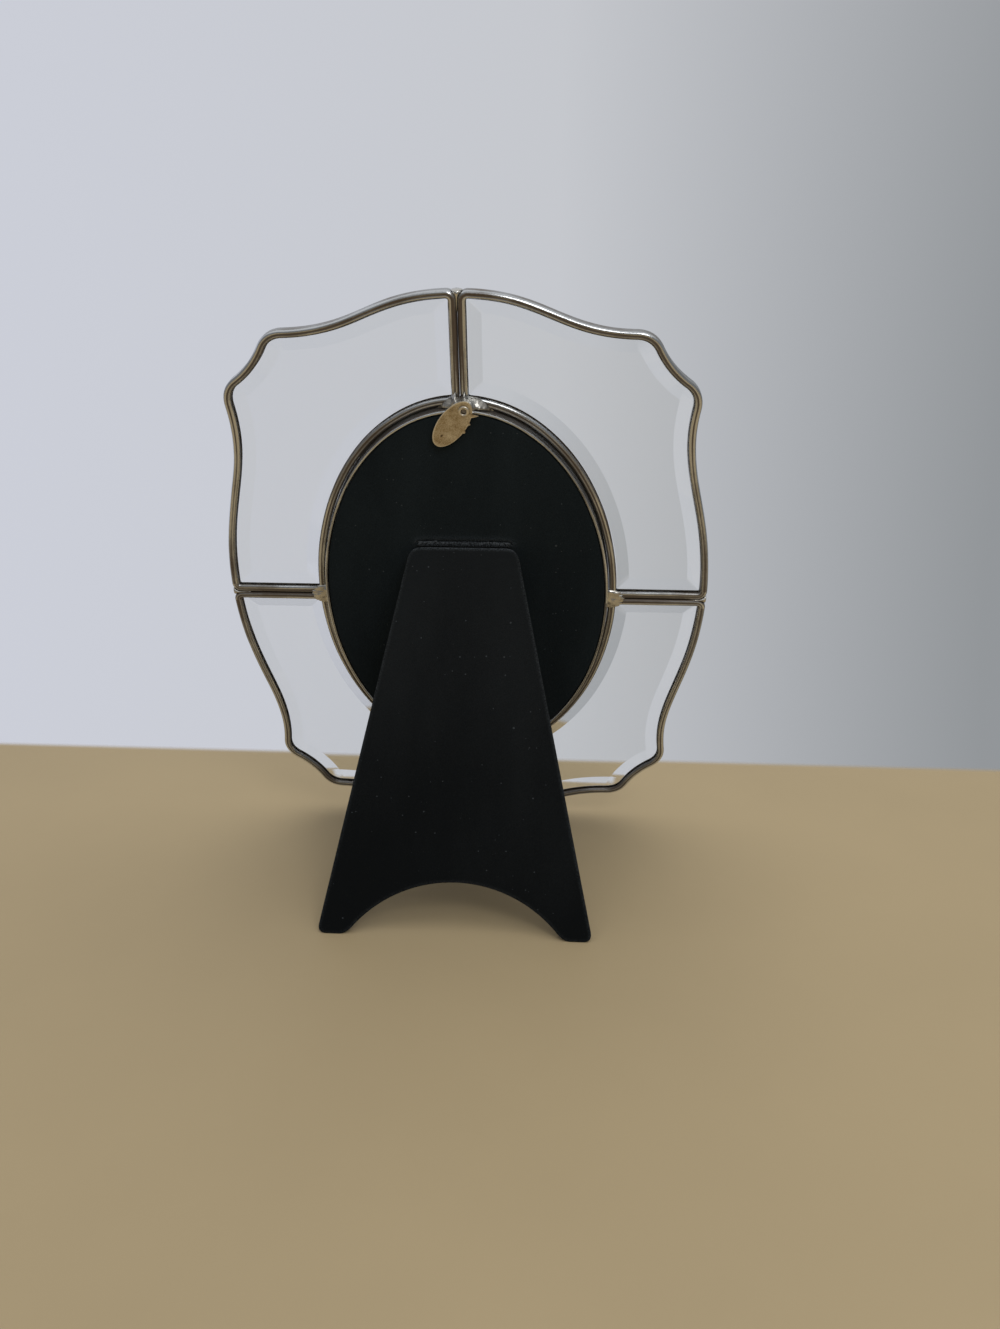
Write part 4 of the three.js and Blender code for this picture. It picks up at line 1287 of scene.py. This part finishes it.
class OVALFRAME_OT_kept_solids(PieceOperator, bpy.types.Operator):
    """Gives the solids that stay their finishes: oval pane, card, both boards and the keeper."""
    bl_idname = "oval_frame.kept_solids"
    bl_label = "Kept solids"

    def make(self, shades):
        finishes = {
            "oval_glass": clear_glass,
            "photo_card": plain_card,
            "backing_board": raw_board,
            "leg_board": raw_board,
            "bottom_keeper": dull_brass,
        }
        for node, finish in finishes.items():
            frame["nodes"][node].material_slots[0].material = finish(shades)


class OVALFRAME_OT_stage(bpy.types.Operator):
    """Sets up the floor, the surroundings, two soft lamps and the camera."""
    bl_idname = "oval_frame.stage"
    bl_label = "Stage"
    bl_options = {"REGISTER", "UNDO"}

    def execute(self, context):
        stage = context.scene.oval_frame_stage
        self.floor(stage)
        self.surroundings(context.scene, stage)
        key = self.lamp("key_lamp", stage.key_power, stage.key_size, stage.key_place)
        key.visible_glossy = key.visible_transmission = False
        self.lamp("fill_lamp", stage.fill_power, stage.fill_size, stage.fill_place)
        self.camera(context.scene, stage)
        context.scene.view_settings.view_transform = "Standard"
        return {"FINISHED"}

    def floor(self, stage):
        """A square with a faint mottle, which ends just beyond the object, as a table does."""
        half, fade = 3.0, 0.007
        x, y = np.meshgrid([-half, half], [-half, half])
        mesh = bpy.data.meshes.new("floor")
        mesh.from_pydata(np.stack([x, y, 0 * x], -1).reshape(-1, 3), [], [(0, 1, 3, 2)])
        finish = Finish("floor")
        shade = tuple(stage.floor)
        darker = tuple(0.95 * c for c in shade)
        finish.done(Base_Color=finish.ramp(finish.noise(9, 5), (0.3, darker), (0.7, shade)),
                    Roughness=0.6, Specular_IOR_Level=0.25)
        back = finish.add("ShaderNodeSeparateXYZ", {0: finish.place.outputs["Object"]}).outputs["Y"]
        mixed = finish.add("ShaderNodeMixShader", {
            0: finish.step(back, stage.floor_end, stage.floor_end + fade),
            1: finish.shader.outputs[0],
            2: finish.add("ShaderNodeBsdfTransparent").outputs[0],
        }).outputs[0]
        finish.feed(finish.tree.nodes["Material Output"], {"Surface": mixed})
        mesh.materials.append(finish.material)
        thing = add_object("floor", mesh)

    def surroundings(self, scene, stage):
        """The world's colour by direction, each part fading into the next.

        It is the dim room with the floor below it, a pale wall on the far side that changes from
        left to right and a brighter ceiling.
        """
        world = bpy.data.worlds.new("surroundings")
        world.use_nodes = True
        nodes = Nodes(world.node_tree)
        place = nodes.place.outputs["Generated"]
        x, y, z = nodes.add("ShaderNodeSeparateXYZ", {0: place}).outputs
        wall = nodes.ramp(nodes.span(x, -0.6, 0.6, 0, 1), (0, stage.wall_left), (0.5, stage.wall),
                          (0.83, stage.wall_right))
        shade = nodes.blend(nodes.step(z, 0, -0.12), stage.room, stage.far_floor)
        shade = nodes.blend(nodes.step(y, -0.35, 0.25), shade, wall)
        shade = nodes.blend(nodes.step(z, 0.45, 0.8), shade, stage.ceiling)
        nodes.feed(nodes.tree.nodes["Background"], {"Color": shade})
        scene.world = world

    def lamp(self, name, power, size, place):
        """A square soft lamp that faces the middle of the object."""
        light = bpy.data.lights.new(name, "AREA")
        light.energy = power
        light.size = size
        thing = add_object(name, light)
        thing.location = place
        aim = np.array((0, 0, 0.12)) - np.array(place)
        tilt = np.arccos(-aim[2] / np.linalg.norm(aim))
        thing.rotation_euler = (tilt, 0, np.arctan2(aim[1], aim[0]) - np.pi / 2)
        return thing

    def camera(self, scene, stage):
        """The camera, at the place and turn of the settings."""
        lens = bpy.data.cameras.new("camera")
        lens.lens = stage.camera_lens
        lens.sensor_width = 36
        thing = add_object("camera", lens)
        thing.location = stage.camera_place
        thing.rotation_euler = stage.camera_turn
        scene.camera = thing


OPERATORS = (
    OVALFRAME_OT_panel_glass,
    OVALFRAME_OT_came,
    OVALFRAME_OT_oval_band,
    OVALFRAME_OT_velvet_back,
    OVALFRAME_OT_cloth_tongue,
    OVALFRAME_OT_leg_cover,
    OVALFRAME_OT_toothed_tab,
    OVALFRAME_OT_eyelet,
    OVALFRAME_OT_solder,
    OVALFRAME_OT_kept_solids,
    OVALFRAME_OT_stage,
)


class OVALFRAME_PT_pieces(bpy.types.Panel):
    """Lists the pieces of the frame and the settings that they follow."""
    bl_idname = "OVALFRAME_PT_pieces"
    bl_label = "Oval Frame"
    bl_space_type = "VIEW_3D"
    bl_region_type = "UI"
    bl_category = "Oval Frame"

    def draw(self, context):
        for operator in OPERATORS:
            self.layout.operator(operator.bl_idname)
        for name, group in GROUPS.items():
            box = self.layout.box()
            for key in group.__annotations__:
                box.prop(getattr(context.scene, name), key)


def register():
    for name, group in GROUPS.items():
        bpy.utils.register_class(group)
        setattr(bpy.types.Scene, name, bpy.props.PointerProperty(type=group))
    for made in (*OPERATORS, OVALFRAME_PT_pieces):
        bpy.utils.register_class(made)


def unregister():
    for made in (OVALFRAME_PT_pieces, *reversed(OPERATORS)):
        bpy.utils.unregister_class(made)
    for name, group in reversed(GROUPS.items()):
        delattr(bpy.types.Scene, name)
        bpy.utils.unregister_class(group)


def main():
    register()
    for operator in OPERATORS:
        family, name = operator.bl_idname.split(".")
        getattr(getattr(bpy.ops, family), name)()


if __name__ == "__main__":
    main()
